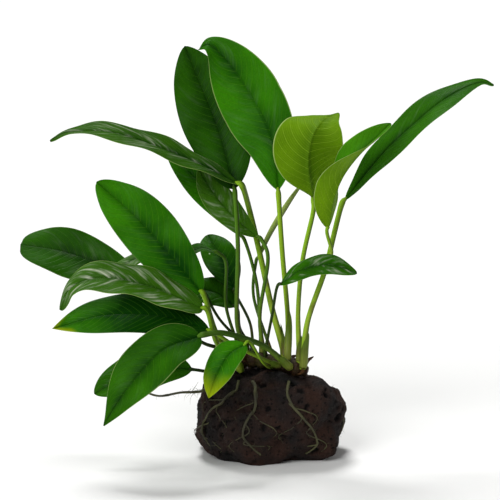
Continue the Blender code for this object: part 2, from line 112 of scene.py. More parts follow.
# Each leaf's shape. seat: share of the rhizome's length from its right end, and degrees from straight
# up towards the viewer; a leaf without one grows from the far right leaf's stem. stem_width: its
# thickness. stem: the places that it passes. blade: the places along its midrib, from base to tip.
# width: the blade's, at its widest, which is at the share `widest` of its length. ends: how sharp its
# base and its tip are, from 0.4, round, to 1, a wedge. faces: where the upper side looks, from the base
# to the tip. fold: degrees that each half rises from the midrib. curl: degrees that each half then
# bends back by its margin.
Leaf = namedtuple("Leaf", "seat stem_width stem blade width widest ends faces fold curl")
LEAVES = {
    "crown_back": Leaf(
        (0.80, -12), 2.3, ((-16.5, 0, 68), (-16, -3, 105)),
        ((-18, 2, 135), (-25, 14, 161), (-37, 24, 190), (-43, 28, 204)),
        34, 0.50, (0.55, 0.66), ((-0.05, -0.95, 0.25), (-0.1, -0.9, 0.4)), 12, 14),
    "crown_front": Leaf(
        (0.26, 25), 2.5, ((9, -4, 70), (6, -6, 105)),
        ((4, -3, 135), (1.5, 3, 159), (-9, 10, 180), (-21, 13, 197.5), (-30, 14, 205.5),
         (-36, 17, 203)),
        36.5, 0.49, (0.75, 0.95), ((-0.35, -1, 0), (-0.5, -1, 0), (-0.2, -0.7, 0.7)), 18, 10),
    "crown_left_arch": Leaf(
        (0.36, -40), 2.9, ((1, 5, 74), (-5, 14, 100), (-10, 16, 121)),
        ((-16, -1, 138), (-39, -3, 150), (-73, -6, 163), (-97, -8, 165), (-108.5, -8, 160.5)),
        20, 0.47, (0.6, 0.7), ((-0.2, -0.35, 0.92), (-0.4, -0.35, 0.85)), 14, 16),
    "young_cupped": Leaf(
        (0.15, 5), 2.4, ((14, -9, 75), (16, -12, 101), (21, -10, 124)),
        ((21, -8, 132), (18.5, -13, 147), (19, -15, 158), (22, -12.5, 166), (27, -7, 171),
         (34, -2, 173.5)),
        35.5, 0.50, (1.1, 0.8),
        ((-0.2, 1, 0.1), (-0.2, 1, 0.1), (-0.2, 1, 0), (-0.1, 0.8, -0.4), (0, 0.4, -0.9),
         (0.2, 0.15, -0.9)), 10, 6),
    "young_folded": Leaf(
        None, 1.8, (),
        ((28, -22, 119), (31, -26.5, 136.5), (39, -25.5, 151.5), (59, -13, 169.5)),
        24, 0.47, (0.7, 0.7),
        ((-0.5, 0.8, 0.3), (-0.7, 0.6, 0.5), (-0.6, -0.4, 0.8), (-0.4, -0.7, 0.5)), 28, -4),
    "far_right": Leaf(
        (0.07, 40), 2.7, ((18.5, -16, 71), (27, -16, 97), (32, -13, 117)),
        ((37, -8, 131), (58, -4, 156), (84, 6, 177.5), (103, 13, 186.5), (112, 16, 185)),
        20, 0.52, (0.62, 0.62), ((-0.35, -0.55, 0.75), (-0.3, -0.45, 0.85)), 12, 12),
    "low_right": Leaf(
        (0.50, 30), 1.5, ((1, -13, 74),),
        ((5, -22, 91), (15, -27, 99), (29, -31, 102.5), (42, -33, 98.5)),
        14, 0.52, (0.6, 0.5), ((-0.1, -0.6, 0.8), (0.2, -0.6, 0.8)), 10, 14),
    "left_main": Leaf(
        (0.86, 45), 2.6, ((-26, -17, 64),),
        ((-34, -22, 87), (-46, -19, 101), (-64, -12, 121), (-78, -7, 133), (-86, -5, 139.5)),
        28, 0.52, (0.48, 0.6), ((-0.2, -0.9, 0.3), (-0.25, -0.85, 0.45)), 12, 12),
    "far_left": Leaf(
        (0.95, -20), 1.8, ((-36, 6, 57), (-54, 9, 78)),
        ((-62, 11, 85), (-80, 15, 92), (-104, 19, 100), (-127, 21, 103.5)),
        27, 0.60, (0.75, 0.38), ((-0.1, -0.75, 0.6), (-0.2, -0.75, 0.6)), 8, 12),
    "left_arch": Leaf(
        (0.97, 65), 2.4, ((-27, -22, 63),),
        ((-33, -28, 80), (-58, -33, 92), (-82, -35, 97), (-96.5, -35, 92), (-102, -34, 80.5)),
        24.5, 0.42, (0.5, 0.6), ((0, -0.5, 0.85), (-0.3, -0.45, 0.85), (-0.75, -0.45, 0.4)), 12, 14),
    "low_left": Leaf(
        (0.31, 80), 1.9, ((-5, -21, 54), (-18, -28, 62)),
        ((-30, -31, 70), (-52, -31, 77), (-80, -33, 78), (-106, -37, 72)),
        23, 0.51, (0.56, 0.85), ((0, -0.72, 0.68), (0, -0.72, 0.68)), 8, 10),
    "hidden_left": Leaf(
        (0.78, -50), 1.5, ((-25, 3, 68), (-34, 5, 84)),
        ((-44, 6, 97), (-59, 5, 101), (-73, 3, 96), (-85, 1, 84)),
        17, 0.48, (0.6, 0.8), ((0, -0.25, 0.95), (-0.6, -0.2, 0.7)), 10, 12),
    "front_low": Leaf(
        (0.20, 70), 2.8, ((-4, -24, 61), (-22, -38, 70)),
        ((-34, -44, 70), (-52, -51, 64.5), (-69, -59, 47), (-80, -62, 30)),
        28, 0.44, (0.5, 1.0), ((-0.35, -0.8, 0.5), (-0.5, -0.75, 0.4)), 10, 12),
    "back_low": Leaf(
        (0.93, 100), 1.7, ((-29, -8, 44),),
        ((-39, -12, 46), (-56, -15, 48), (-74, -20, 43), (-87, -23, 36)),
        21, 0.50, (0.6, 0.6), ((0, -0.9, 0.4), (-0.1, -0.85, 0.5)), 8, 10),
    "front_yellow": Leaf(
        (0.41, 100), 1.4, ((-4, -29, 54),),
        ((-12, -40, 65), (-20, -45, 61), (-26, -49, 52), (-30, -52, 41)),
        16, 0.44, (0.6, 0.8), ((-0.3, -0.8, 0.5), (-0.3, -0.85, 0.4)), 10, 12),
    "mid_small": Leaf(
        (0.66, 35), 1.5, ((-10, 5, 66),),
        ((-18, 14, 81), (-23, 23, 92), (-29, 33, 101.5), (-32, 39, 105.5)),
        18, 0.54, (0.6, 0.45), ((0, -0.85, 0.5), (0, -0.7, 0.7)), 10, 12),
    "mid_low": Leaf(
        (0.73, -5), 1.5, ((-15, 10, 62),),
        ((-18, 12, 73), (-26, 15, 79), (-34, 17, 81), (-43, 20, 83)),
        16, 0.50, (0.6, 0.7), ((0.1, -0.8, 0.6), (0.1, -0.8, 0.6)), 8, 10),
    "mid_hook": Leaf(
        (0.88, -50), 1.7, ((-22, 6, 74), (-22, 6, 96)),
        ((-28, 3, 103), (-34, 1, 105), (-40, -1, 103), (-46, -3, 98)),
        15, 0.45, (0.6, 0.8), ((0, -0.15, 0.98), (-0.4, -0.1, 0.9)), 10, 10),
    "centre_front": Leaf(
        (0.58, 0), 2.0, ((-5, 1, 72), (-1, 0, 99)),
        ((-6, 5, 110), (-18, 6, 120), (-29, 8, 133), (-36, 11, 144)),
        15.5, 0.55, (0.6, 0.7), ((-0.2, -0.8, 0.5), (-0.2, -0.8, 0.5)), 10, 12),
    "centre_back": Leaf(
        (0.66, -35), 1.8, ((-6, 12, 80), (-9, 15, 95)),
        ((-14, 18, 108), (-26, 20, 125), (-39, 23, 139), (-52, 25, 150)),
        17, 0.55, (0.7, 0.7), ((-0.2, -0.85, 0.45), (-0.2, -0.85, 0.45)), 10, 12),
    "furled": Leaf(
        (0.54, -60), 1.6, ((-8, 19, 76),),
        ((-6, 17, 97), (1, 15, 112), (11, 12, 129), (21, 8, 143)),
        3, 0.60, (0.6, 0.8), ((0, -1, 0), (0, -1, 0)), 0, 0),
}

# Each leaf's look. skin and stem: the names of their finishes. wave: how far the margins swing, in mm.
# haze: how strong its painted sheen is, pale grey streaks that stand for the overhead light's reflection.
# rim: how pale its thin margin is. dark: how much painted shade darkens its base against its tip, and
# below 0 how much painted light lightens it. waves: how often the margins swing along the leaf.
# yellowing: the share of the blade that has turned, from the tip.
Look = namedtuple("Look", "skin stem wave haze rim dark waves yellowing", defaults=(2.0, 0.0))
LOOKS = {
    "crown_back": Look("dark", "green", 0.8, 0.03, 0.0, 0.3, waves=2.5),
    "crown_front": Look("bright", "brown foot", 0.7, 0.05, 0.7, 0.1),
    "crown_left_arch": Look("hazy", "fresh", 1.0, 0.75, 0.8, 0.35, waves=3.0),
    "young_cupped": Look("young", "fresh", 0.6, 0.0, 0.9, 0.0),
    "young_folded": Look("young", "fresh", 0.5, 0.0, 0.8, 0.0),
    "far_right": Look("middle", "fresh", 0.8, 0.05, 0.25, -0.2, waves=2.5),
    "low_right": Look("middle", "shaded", 0.4, 0.7, 0.5, 0.0),
    "left_main": Look("bright", "fresh", 0.8, 0.03, 0.2, 0.5, waves=2.5),
    "far_left": Look("dark", "shaded", 0.9, 0.08, 0.2, 0.2),
    "left_arch": Look("hazy", "fresh", 1.0, 1.0, 0.7, -0.4, waves=3.0),
    "low_left": Look("bright", "fresh", 0.8, 0.0, 0.2, 2.2, yellowing=0.08),
    "hidden_left": Look("hazy", "shaded", 0.7, 0.6, 0.3, 0.0),
    "front_low": Look("middle", "green", 0.6, 0.02, 0.6, 0.25),
    "back_low": Look("middle", "shaded", 0.7, 0.12, 0.1, -0.3),
    "front_yellow": Look("bright", "fresh", 0.5, 0.0, 0.7, 0.0, yellowing=0.36),
    "mid_small": Look("middle", "shaded", 0.5, 0.0, 0.1, 0.9),
    "mid_low": Look("dark", "shaded", 0.5, 0.0, 0.2, -0.3),
    "mid_hook": Look("dark", "green", 0.4, 0.05, 0.2, 0.0),
    "centre_front": Look("hazy", "green", 0.5, 0.35, 0.5, -0.6),
    "centre_back": Look("bright", "green", 0.6, 0.1, 0.2, -0.5),
    "furled": Look("young", "green", 0.1, 0.0, 0.0, 0.0),
}

# Bud
BUD_FOOT = (-14.5, -3.5, 43)
BUD_TIP = (-18.5, -6, 52)
BUD_RADIUS = 2.4
BUD_TIP_SHARE = 0.08
BUD_POINTS = 30

# Roots over the stone: width, then from and to, each as degrees round the stone (0 is +X, 90 is
# away from the viewer) and degrees up from its middle, and how far it wanders sideways in degrees.
# The rootlets' reach, drop, lowest place and wander are in degrees too.
CREEPING_ROOTS = {
    "root_front": (1.7, (-118, 54), (-100, -20), 9),
    "root_front_right": (1.5, (-66, 48), (-48, -24), -8),
    "root_front_left": (1.5, (-146, 50), (-150, -14), 8),
    "root_back": (1.7, (62, 50), (84, -22), 9),
    "root_back_left": (1.4, (112, 52), (138, -18), -8),
    "root_right": (1.3, (8, 44), (14, -20), 7),
}
ROOT_CLEARANCE = 0.5
ROOT_POINTS = 13
ROOT_TAPER = 0.5
LONG_ROOT_WIDTH = 1.8
LONG_ROOT_PATH = ((-25, 7, 43.5), (-30, 0, 42), (-31, -12, 39), (-34, -25, 38), (-44, -32, 39),
                  (-54, -35, 38), (-61, -35, 40), (-67, -34, 43))
STONE_MIDDLE_Z = 17.0
OUTSIDE_STONE = 90.0
ROOT_FINE_POINTS = 110
ROOTLETS_EACH = 4
ROOTLET_WIDTH = 0.8
ROOTLET_TAPER = 0.7
ROOTLET_POINTS = 50
ROOTLET_REACH = 16
ROOTLET_REACH_SWING = 5
ROOTLET_DROP = 26
ROOTLET_LOWEST = -18
ROOTLET_WANDER = 6
HAIR_LENGTH = 2.2
WHOLE_TURN = 6.283
TUFT_FROM = 0.42
TUFT_TO = 0.62
TUFT_LENGTH = 7
TUFT_THICKNESS = 0.13
TUFT_SPACING = 0.7

# Sheaths. Green ones: the share of the stem that each wraps, from SHEATH_FOOT up. Old ones: share and
# degrees round the rhizome, as a leaf's seat has them, and their length.
SHEATH_ROWS = 24
SHEATH_COLUMNS = 49
SHEATH_FOOT = 0.02
OLD_SHEATH_RADIUS = 1.3
OLD_SHEATH_FOOT = 3
OLD_SHEATH_LEAN = 0.35
GREEN_SHEATHS = {"crown_back": 0.16, "crown_front": 0.3, "crown_left_arch": 0.18, "young_cupped": 0.17,
                 "far_right": 0.22, "left_main": 0.3, "left_arch": 0.28, "front_low": 0.2,
                 "centre_front": 0.15, "low_left": 0.22}
OLD_SHEATHS = ((0.12, 85, 4), (0.33, -75, 6), (0.47, 70, 6), (0.6, -80, 7), (0.7, 80, 6),
               (0.9, 30, 6), (0.06, -30, 4))

# Finishes of the blades: deep and light colour, veins, roughness, share of cells with a pale speck
LEAF_SKINS = {
    "dark": ((0.001, 0.014, 0.001), (0.020, 0.105, 0.001), (0.05, 0.17, 0.006), 0.34, 0.004),
    "middle": ((0.001, 0.024, 0.001), (0.028, 0.145, 0.001), (0.06, 0.21, 0.008), 0.34, 0.02),
    "bright": ((0.001, 0.036, 0.001), (0.036, 0.210, 0.001), (0.09, 0.30, 0.010), 0.34, 0.002),
    # Greyer tones for leaves whose upper sides catch the overhead light: a painted sheen
    "hazy": ((0.004, 0.034, 0.001), (0.040, 0.135, 0.004), (0.10, 0.22, 0.03), 0.32, 0.0),
    "young": ((0.018, 0.100, 0.001), (0.050, 0.220, 0.002), (0.09, 0.30, 0.010), 0.40, 0.0),
}
YOUNG_UNDERSIDE = ((0.050, 0.125, 0.001), (0.125, 0.260, 0.002), (0.23, 0.40, 0.02))
YOUNG_RIB = (0.060, 0.130, 0.006)
UNDERSIDE_LIFT = 0.004
OLD_LEAF = (0.36, 0.44, 0.005)
SPECK = (0.55, 0.65, 0.45)
PALE_RIM = (0.34, 0.46, 0.14)
# Pale grey of the painted sheen, standing for the overhead light's reflection on the leaves
HAZE = (0.66, 0.70, 0.54)
LEAF_GLOSS = 0.03

# Finishes of the stems and sheaths: colours at the foot and at the top
STEM_SKINS = {
    "fresh": ((0.33, 0.44, 0.045), (0.20, 0.37, 0.015)),
    "green": ((0.15, 0.23, 0.025), (0.065, 0.16, 0.010)),
    "shaded": ((0.045, 0.065, 0.012), (0.022, 0.050, 0.006)),
    "brown foot": ((0.018, 0.010, 0.005), (0.22, 0.38, 0.015)),
    "rolled": ((0.10, 0.18, 0.03), (0.24, 0.32, 0.07)),
}
STEM_BLUSH = (0.085, 0.035, 0.020)
STEM_GLOSS = 0.08
SHEATH_GREEN = ((0.30, 0.34, 0.06), (0.13, 0.22, 0.02))
SHEATH_BROWN = ((0.030, 0.013, 0.007), (0.12, 0.060, 0.025))

# Finishes of the rhizome and the roots: the size of their patches and grain, how fine and how long
# their streaks are and how strongly they show, then roughness, gloss, the grain's share of the relief
# and the relief's height in metres
Bark = namedtuple("Bark", "patches fineness streak_length streak_share roughness gloss grain relief")
RHIZOME_BARK = Bark({"patch_size": 0.008, "grain_size": 0.0006, "seed": 3.0}, 4.0, 0.004, 0.7, 0.45,
                    0.15, 0.5, 0.0002)
ROOT_BARK = Bark({"patch_size": 0.009, "grain_size": 0.0005}, 3.0, 0.012, 0.6, 0.55, 0.5, 0.4, 0.00015)
BARK_RED = (0.040, 0.012, 0.007)
BARK_GREEN = (0.045, 0.040, 0.010)
BARK_DARK = (0.010, 0.005, 0.004)
ROOT_BROWN = (0.028, 0.024, 0.010)
ROOT_PALE = (0.105, 0.105, 0.035)

# Finish of the stone
LAVA_BLACK = (0.012, 0.011, 0.011)
LAVA_RUST = (0.034, 0.016, 0.011)
LAVA_DUST = (0.085, 0.074, 0.066)
# Near-black painted shade in the stone's pits and pores
LAVA_PIT = (0.003, 0.003, 0.003)
STONE_GLOSS = 0.15

# Stage. Lights: strength, width in degrees, and the way that they come from
FLOOR_HALF = 8.0
FLOOR_COLOUR = (0.86, 0.86, 0.85, 1)
FLOOR_ROUGHNESS = 0.9
OVERHEAD = (2.3, 20, (-0.15, 0.4, 1.0))
FRONT_FILL = (1.7, 35, (-0.7, -1.0, 0.9))
STUDIO_GLOW = 0.28


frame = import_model()


# ---------------------------------------------------------------- guide lines

def smooth_path(points, count):
    """Evenly spaced places on a smooth curve that passes through the given ones."""
    points = [Vector(point) for point in points]
    ends = [2 * points[0] - points[1]] + points + [2 * points[-1] - points[-2]]
    fine = []
    for before, start, end, after in zip(ends, ends[1:], ends[2:], ends[3:]):
        for step in range(16):
            t = step / 16
            fine.append(0.5 * (2 * start + (end - before) * t
                               + (2 * before - 5 * start + 4 * end - after) * t ** 2
                               + (3 * start - before - 3 * end + after) * t ** 3))
    fine.append(points[-1])
    lengths = [0.0]
    for start, end in zip(fine, fine[1:]):
        lengths.append(lengths[-1] + (end - start).length)
    places = []
    segment = 0
    for index in range(count):
        along = lengths[-1] * index / (count - 1)
        while segment < len(fine) - 2 and lengths[segment + 1] < along:
            segment += 1
        span = lengths[segment + 1] - lengths[segment]
        places.append(fine[segment].lerp(fine[segment + 1], (along - lengths[segment]) / span))
    return places


def shares(count):
    """Even steps from 0 to 1."""
    return [index / (count - 1) for index in range(count)]


def direction_at(path, index):
    """The way that a path runs at one of its places."""
    return (path[min(index + 1, len(path) - 1)] - path[max(index - 1, 0)]).normalized()


def rhizome_place(share, degrees):
    """A place on the rhizome and the way out of it there; degrees turn from up to the viewer."""
    path = smooth_path(RHIZOME_PATH, RHIZOME_POINTS)
    index = min(max(round(share * (RHIZOME_POINTS - 1)), 1), RHIZOME_POINTS - 2)
    along = direction_at(path, index)
    viewer = along.cross(Vector((0, 0, 1))).normalized()
    if viewer.y > 0:
        viewer = -viewer
    up = viewer.cross(along)
    if up.z < 0:
        up = -up
    angle = math.radians(degrees)
    return path[index], up * math.cos(angle) + viewer * math.sin(angle)


def stem_points(leaf):
    """The stem's route: from its seat, by its own places, to the knee below the blade."""
    top = Vector(leaf.blade[0])
    along = (smooth_path(leaf.blade, 10)[1] - top).normalized()
    knee = top - along * KNEE_LENGTH
    if leaf.seat is None:
        lower, upper = LEAVES["far_right"].stem[1:3]
        join = Vector(lower).lerp(Vector(upper), SIDE_SHOOT_AT)
        lift = (Vector(upper) - Vector(lower)) * SIDE_SHOOT_LENGTH
        return join - lift, join + SIDE_SHOOT_OFFSET, knee, top + along * STEM_INTO_BLADE
    centre, out = rhizome_place(*leaf.seat)
    foot = centre + out * RHIZOME_RADIUS
    return (centre + out * RHIZOME_RADIUS * SEAT_SHARE, foot + out * KNEE_LENGTH, *leaf.stem, knee,
            top + along * STEM_INTO_BLADE)


def guide_mesh(name, lines, **attributes):
    """Lines of points in metres, each point with its own numbers or vectors for the tree to read."""
    mesh = bpy.data.meshes.new(name + " guide")
    places = [place * MM for line in lines for place in line]
    edges = []
    first = 0
    for line in lines:
        edges += [(first + index, first + index + 1) for index in range(len(line) - 1)]
        first += len(line)
    mesh.from_pydata(places, edges, [])
    for label, values in attributes.items():
        vectors = isinstance(values[0], Vector)
        layer = mesh.attributes.new(label, "FLOAT_VECTOR" if vectors else "FLOAT", "POINT")
        for item, value in zip(layer.data, values):
            setattr(item, "vector" if vectors else "value", value)
    return mesh


# ---------------------------------------------------------------- node trees

class Value:
    """A socket of a node tree. Arithmetic on it adds Math nodes to the tree."""

    def __init__(self, tree, socket):
        self.tree = tree
        self.socket = socket

    def part(self, output):
        """Another output of the same node."""
        return Value(self.tree, self.socket.node.outputs[output])


def arithmetic(operation):
    """The two methods of an operator: for a Value before it, and for a Value after it."""
    def before(value, other):
        return calculate(value.tree, operation, value, other)

    def after(value, other):
        return calculate(value.tree, operation, other, value)

    return before, after


for method, operation in (("add", "ADD"), ("sub", "SUBTRACT"), ("mul", "MULTIPLY"),
                          ("truediv", "DIVIDE"), ("pow", "POWER")):
    before, after = arithmetic(operation)
    setattr(Value, f"__{method}__", before)
    setattr(Value, f"__r{method}__", after)


def connect(tree, value, entry):
    """Feeds an input with another node's value, or sets it to a plain one."""
    if isinstance(value, Value):
        tree.links.new(value.socket, entry)
    else:
        entry.default_value = value


def add_node(tree, kind, inputs=None, output=0, **settings):
    """A node with its settings and inputs, as the Value of one of its outputs."""
    node = tree.nodes.new(kind)
    for name, setting in settings.items():
        setattr(node, name, setting)
    for key, value in (inputs or {}).items():
        connect(tree, value, node.inputs[key])
    return Value(tree, node.outputs[output])


def calculate(tree, operation, *values):
    """A Math node."""
    return add_node(tree, "ShaderNodeMath", dict(enumerate(values)), operation=operation)


def limit(value):
    """The value, held between 0 and 1."""
    return calculate(value.tree, "MINIMUM", calculate(value.tree, "MAXIMUM", value, 0.0), 1.0)


def absolute(value):
    return calculate(value.tree, "ABSOLUTE", value)


def sign(value):
    return calculate(value.tree, "SIGN", value)


def sine(value):
    return calculate(value.tree, "SINE", value)


def cosine(value):
    return calculate(value.tree, "COSINE", value)


def exponent(value):
    return calculate(value.tree, "EXPONENT", value)


def ramp(value, low, high):
    """0 at `low` and 1 at `high`, with soft ends."""
    return add_node(value.tree, "ShaderNodeMapRange",
                    {"Value": value, "From Min": low, "From Max": high},
                    interpolation_type="SMOOTHSTEP")


def wave_to_line(value, width):
    """1 on every whole number of the value, falling to 0 at a share `width` of the spacing."""
    return ramp(calculate(value.tree, "PINGPONG", value, 0.5), width, 0.0)


def combine(tree, *parts):
    """A vector of up to three numbers; those that aren't given are 0."""
    return add_node(tree, "ShaderNodeCombineXYZ", dict(enumerate(parts)))


def split(vector):
    """The three numbers of a vector."""
    first = add_node(vector.tree, "ShaderNodeSeparateXYZ", {0: vector})
    return first, first.part(1), first.part(2)


def vector_math(operation, first, *others):
    """A Vector Math node."""
    return add_node(first.tree, "ShaderNodeVectorMath", dict(enumerate((first, *others))),
                    operation=operation)


def cross(first, second):
    return vector_math("CROSS_PRODUCT", first, second)


def scaled(vector, size):
    return add_node(vector.tree, "ShaderNodeVectorMath", {0: vector, "Scale": size}, operation="SCALE")


def total(first, *others):
    """The sum of vectors."""
    for other in others:
        first = vector_math("ADD", first, other)
    return first


def plain_label(label):
    """A socket's name as an argument or an attribute has it."""
    return label.replace(" ", "_").lower()


def named_inputs(tree, sizes):
    """Adds named inputs and gives them as Values. Each has a default number, or a socket's kind."""
    for label, size in sizes.items():
        kind = size if isinstance(size, str) else "Int" if isinstance(size, int) else "Float"
        socket = tree.interface.new_socket(label, in_out="INPUT", socket_type="NodeSocket" + kind)
        if size != kind:
            socket.default_value = size
    start = tree.nodes.new("NodeGroupInput")
    return {label: Value(tree, start.outputs[label]) for label in sizes}


def named_outputs(tree, kind, results):
    """Adds named outputs of one kind and feeds them."""
    for label in results:
        tree.interface.new_socket(label, in_out="OUTPUT", socket_type="NodeSocket" + kind)
    end = tree.nodes.new("NodeGroupOutput")
    for label, value in results.items():
        connect(tree, value, end.inputs[label])


def position(tree):
    """Where each point of the shape is."""
    return add_node(tree, "GeometryNodeInputPosition")


def store(shape, name, value, kind="FLOAT", domain="POINT"):
    """Keeps a value on the shape under a name."""
    return add_node(shape.tree, "GeometryNodeStoreNamedAttribute",
                    {"Geometry": shape, "Name": name, "Value": value},
                    data_type=kind, domain=domain)


def read(tree, name, kind="FLOAT"):
    """A value that the shape or its guide has under a name."""
    return add_node(tree, "GeometryNodeInputNamedAttribute", {"Name": name}, data_type=kind)


def paint(shape, material, **where):
    """Gives the shape, or the faces that a Selection picks, a material."""
    return add_node(shape.tree, "GeometryNodeSetMaterial",
                    {"Geometry": shape, "Material": material, **where})


def rough_noise(place, scale=1.0, detail=2.0, roughness=0.5, seed=0.0):
    """Noise from about -0.5 to 0.5, in four dimensions so that each seed has its own."""
    return add_node(place.tree, "ShaderNodeTexNoise",
                    {"Vector": place, "Scale": scale, "Detail": detail, "Roughness": roughness, "W": seed},
                    noise_dimensions="4D") - 0.5


def finish_shape(shape, skin, seam=0.000002, **move):
    """Moves the shape's points, closes its seams, and makes it smooth, plain faces with a skin."""
    shape = add_node(shape.tree, "GeometryNodeSetPosition", {"Geometry": shape, **move})
    if seam is not None:
        shape = add_node(shape.tree, "GeometryNodeMergeByDistance", {"Geometry": shape, "Distance": seam})
    shape = add_node(shape.tree, "GeometryNodeSetShadeSmooth", {"Geometry": shape})
    shape = add_node(shape.tree, "GeometryNodeRealizeInstances", {"Geometry": shape})
    return paint(shape, skin)


def new_object(name, data):
    """An object at the origin, in the scene's own collection."""
    made = bpy.data.objects.new(name, data)
    bpy.context.scene.collection.objects.link(made)
    return made


def grow(name, guide, tree, **sizes):
    """Runs a geometry tree on a guide and keeps the result as a plain mesh."""
    piece = new_object(name, guide)
    modifier = piece.modifiers.new("Grow", "NODES")
    modifier.node_group = tree
    for socket in tree.interface.items_tree:
        label = plain_label(socket.name)
        if socket.in_out == "INPUT" and label in sizes:
            modifier[socket.identifier] = sizes[label]
    graph = bpy.context.evaluated_depsgraph_get()
    piece.data = bpy.data.meshes.new_from_object(piece.evaluated_get(graph))
    piece.data.name = name
    piece.modifiers.clear()
    bpy.data.meshes.remove(guide)
    return piece


def finish_piece(piece, slot, *nodes):
    """The piece moves with the one body and stands for its solid nodes. Its slot is not used."""
    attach(piece, "root")
    if nodes:
        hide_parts(*nodes)


# ---------------------------------------------------------------- leaf blades

Sheet = namedtuple("Sheet", "flat hand spread even along from_guide middle side facing")


def sheet_on_guide(tree, given):
    """A flat grid, and what lays it along a guide as a closed sheet with an outer and an inner face.

    Its X, the turn, runs from the inner face's middle round the left margin, over the outer face and
    round the right margin back to the inner face's middle. `hand` is -1 on the left half and 1 on the
    right, `spread` is below 1 on the outer face, `even` goes from 0 in the middle to 1 at the
    margins, and `along` goes from 0 at the guide's foot to 1 at its end.
    """
    flat = add_node(tree, "GeometryNodeMeshGrid",
                    {"Size X": 4.0, "Size Y": 1.0, "Vertices X": given["Columns"],
                     "Vertices Y": given["Rows"]})
    turn, height, _ = split(position(tree))
    along = height + 0.5
    spread = absolute(turn)
    row = calculate(tree, "ROUND", along * (given["Rows"] - 1))

    def from_guide(value, kind="FLOAT_VECTOR"):
        return add_node(tree, "GeometryNodeSampleIndex",
                        {"Geometry": given["Guide"], "Value": value, "Index": row},
                        data_type=kind, domain="POINT")

    middle = from_guide(position(tree))
    forward = from_guide(read(tree, "forward", "FLOAT_VECTOR"))
    facing = from_guide(read(tree, "facing", "FLOAT_VECTOR"))
    side = vector_math("NORMALIZE", cross(forward, facing))
    return Sheet(flat, sign(turn), spread, 1 - absolute(spread - 1), along, from_guide, middle, side,
                 cross(side, forward))


def vein_phase(along, across, pairs, seed):
    """Counts the side veins from the base: a whole number on each, as it leans towards the tip."""
    drift = rough_noise(combine(along.tree, 0, along), 2.5, seed=seed)
    return (along - VEIN_LEAN * across - VEIN_BEND * across * across) * pairs + drift


def blade_tree():
    """A closed leaf blade that follows its guide, with rib, veins, wavy margins and a UV map."""
    tree = bpy.data.node_groups.new("Leaf blade", "GeometryNodeTree")
    given = named_inputs(tree, {
        "Guide": "Geometry", "Rows": BLADE_ROWS, "Columns": BLADE_COLUMNS, "Width": 0.028,
        "Crest": 1.0, "Base Sharpness": 0.6, "Tip Sharpness": 0.8, "Fold": 12.0, "Curl": 14.0,
        "Thickness": 0.0006, "Rib Height": 0.0008, "Rib Width": 0.0012, "Vein Depth": 0.00012,
        "Margin Wave": 0.0006, "Waves": 3.0, "Unevenness": 0.0005, "Vein Pairs": 18.0,
        "Leaf Seed": 0.0, "Yellowing": 0.0, "Haze": 0.0, "Pale Rim": 0.5, "Dark Base": 0.0,
        "Upper Side": "Material", "Underside": "Material"})
    sheet = sheet_on_guide(tree, given)
    along = sheet.along
    hand = sheet.hand
    across = sheet.even * 0.35 + (0.5 - 0.5 * cosine(sheet.even * math.pi)) * 0.65
    upper = calculate(tree, "LESS_THAN", sheet.spread, 1.0001)
    face = sign(1 - sheet.spread)

    # Half width
    power = given["Base Sharpness"] + (given["Tip Sharpness"] - given["Base Sharpness"]) * along
    swell = sine(limit(along) ** given["Crest"] * math.pi)
    least = BLADE_BASE_HALF * MM + (BLADE_TIP_HALF - BLADE_BASE_HALF) * MM * along
    outline = given["Width"] * 0.5 * calculate(tree, "MAXIMUM", swell, 0.0) ** power
    reach = calculate(tree, "MAXIMUM", outline, least) * across

    # The two halves rise from the midrib and bend back towards their margins
    tilt = (given["Fold"] - given["Curl"] * across * 0.5) * math.radians(1)
    slope = (given["Fold"] - given["Curl"] * across) * ramp(across, 0.0, 0.15) * math.radians(1)
    normal = total(scaled(sheet.facing, cosine(slope)), scaled(sheet.side, sine(slope) * hand * -1))

    # Relief
    inside = ramp(across, 1.0, 0.86) * ramp(along, 0.0, 0.05) * ramp(along, 1.0, 0.93)
    off_rib = ramp(reach, 0.0006, 0.0022)
    seed = given["Leaf Seed"] + hand * HALVES_APART
    phase = vein_phase(along, across, given["Vein Pairs"], seed)
    veins = wave_to_line(phase, 0.32) * inside * off_rib * given["Vein Depth"]
    swerve = sine(along * given["Waves"] * 2 * math.pi + seed * 1.9)
    wave = swerve * across * across * given["Margin Wave"] * ramp(along, 0.0, 0.25)
    uneven = rough_noise(combine(tree, across * hand * 1.5, along * 5), detail=1.0,
                         seed=given["Leaf Seed"])
    relief = wave + uneven * given["Unevenness"] * ramp(along, 0.0, 0.2) - veins

    # Thickness, the groove above and the rib below
    ends = ramp(along, 0.0, 0.03) * ramp(along, 1.0, 0.985)
    flesh = given["Thickness"] * 0.5 * (1 - across ** 7) * ends
    taper = (1 - along) ** 0.8
    rib_share = reach / (given["Rib Width"] * (taper * 0.8 + 0.2))
    rib = exponent(rib_share * rib_share * -1) * taper * ends
    groove = exponent(rib_share * rib_share * -4) * ends
    above = flesh - groove * given["Rib Height"] * RIB_GROOVE
    below = (flesh + rib * given["Rib Height"]) * -1
    lift = relief + above * upper + below * (1 - upper)
    place = total(sheet.middle, scaled(sheet.side, reach * cosine(tilt) * hand),
                  scaled(sheet.facing, reach * sine(tilt)), scaled(normal, lift))

    shape = store(sheet.flat, "upper", sheet.spread)
    for label in ("Vein Pairs", "Leaf Seed", "Yellowing", "Haze", "Pale Rim", "Dark Base"):
        shape = store(shape, plain_label(label), given[label])
    turned = hand * (across * face + (1 - face))
    shape = store(shape, "UVMap", combine(tree, turned * 0.25 + 0.5, along), "FLOAT2", "CORNER")
    shape = finish_shape(shape, given["Upper Side"], seam=0.000004, Position=place)
    is_under = calculate(tree, "GREATER_THAN", read(tree, "upper"), 1.0)
    shape = paint(shape, given["Underside"], Selection=is_under)
    named_outputs(tree, "Geometry", {"Shape": shape})
    return tree


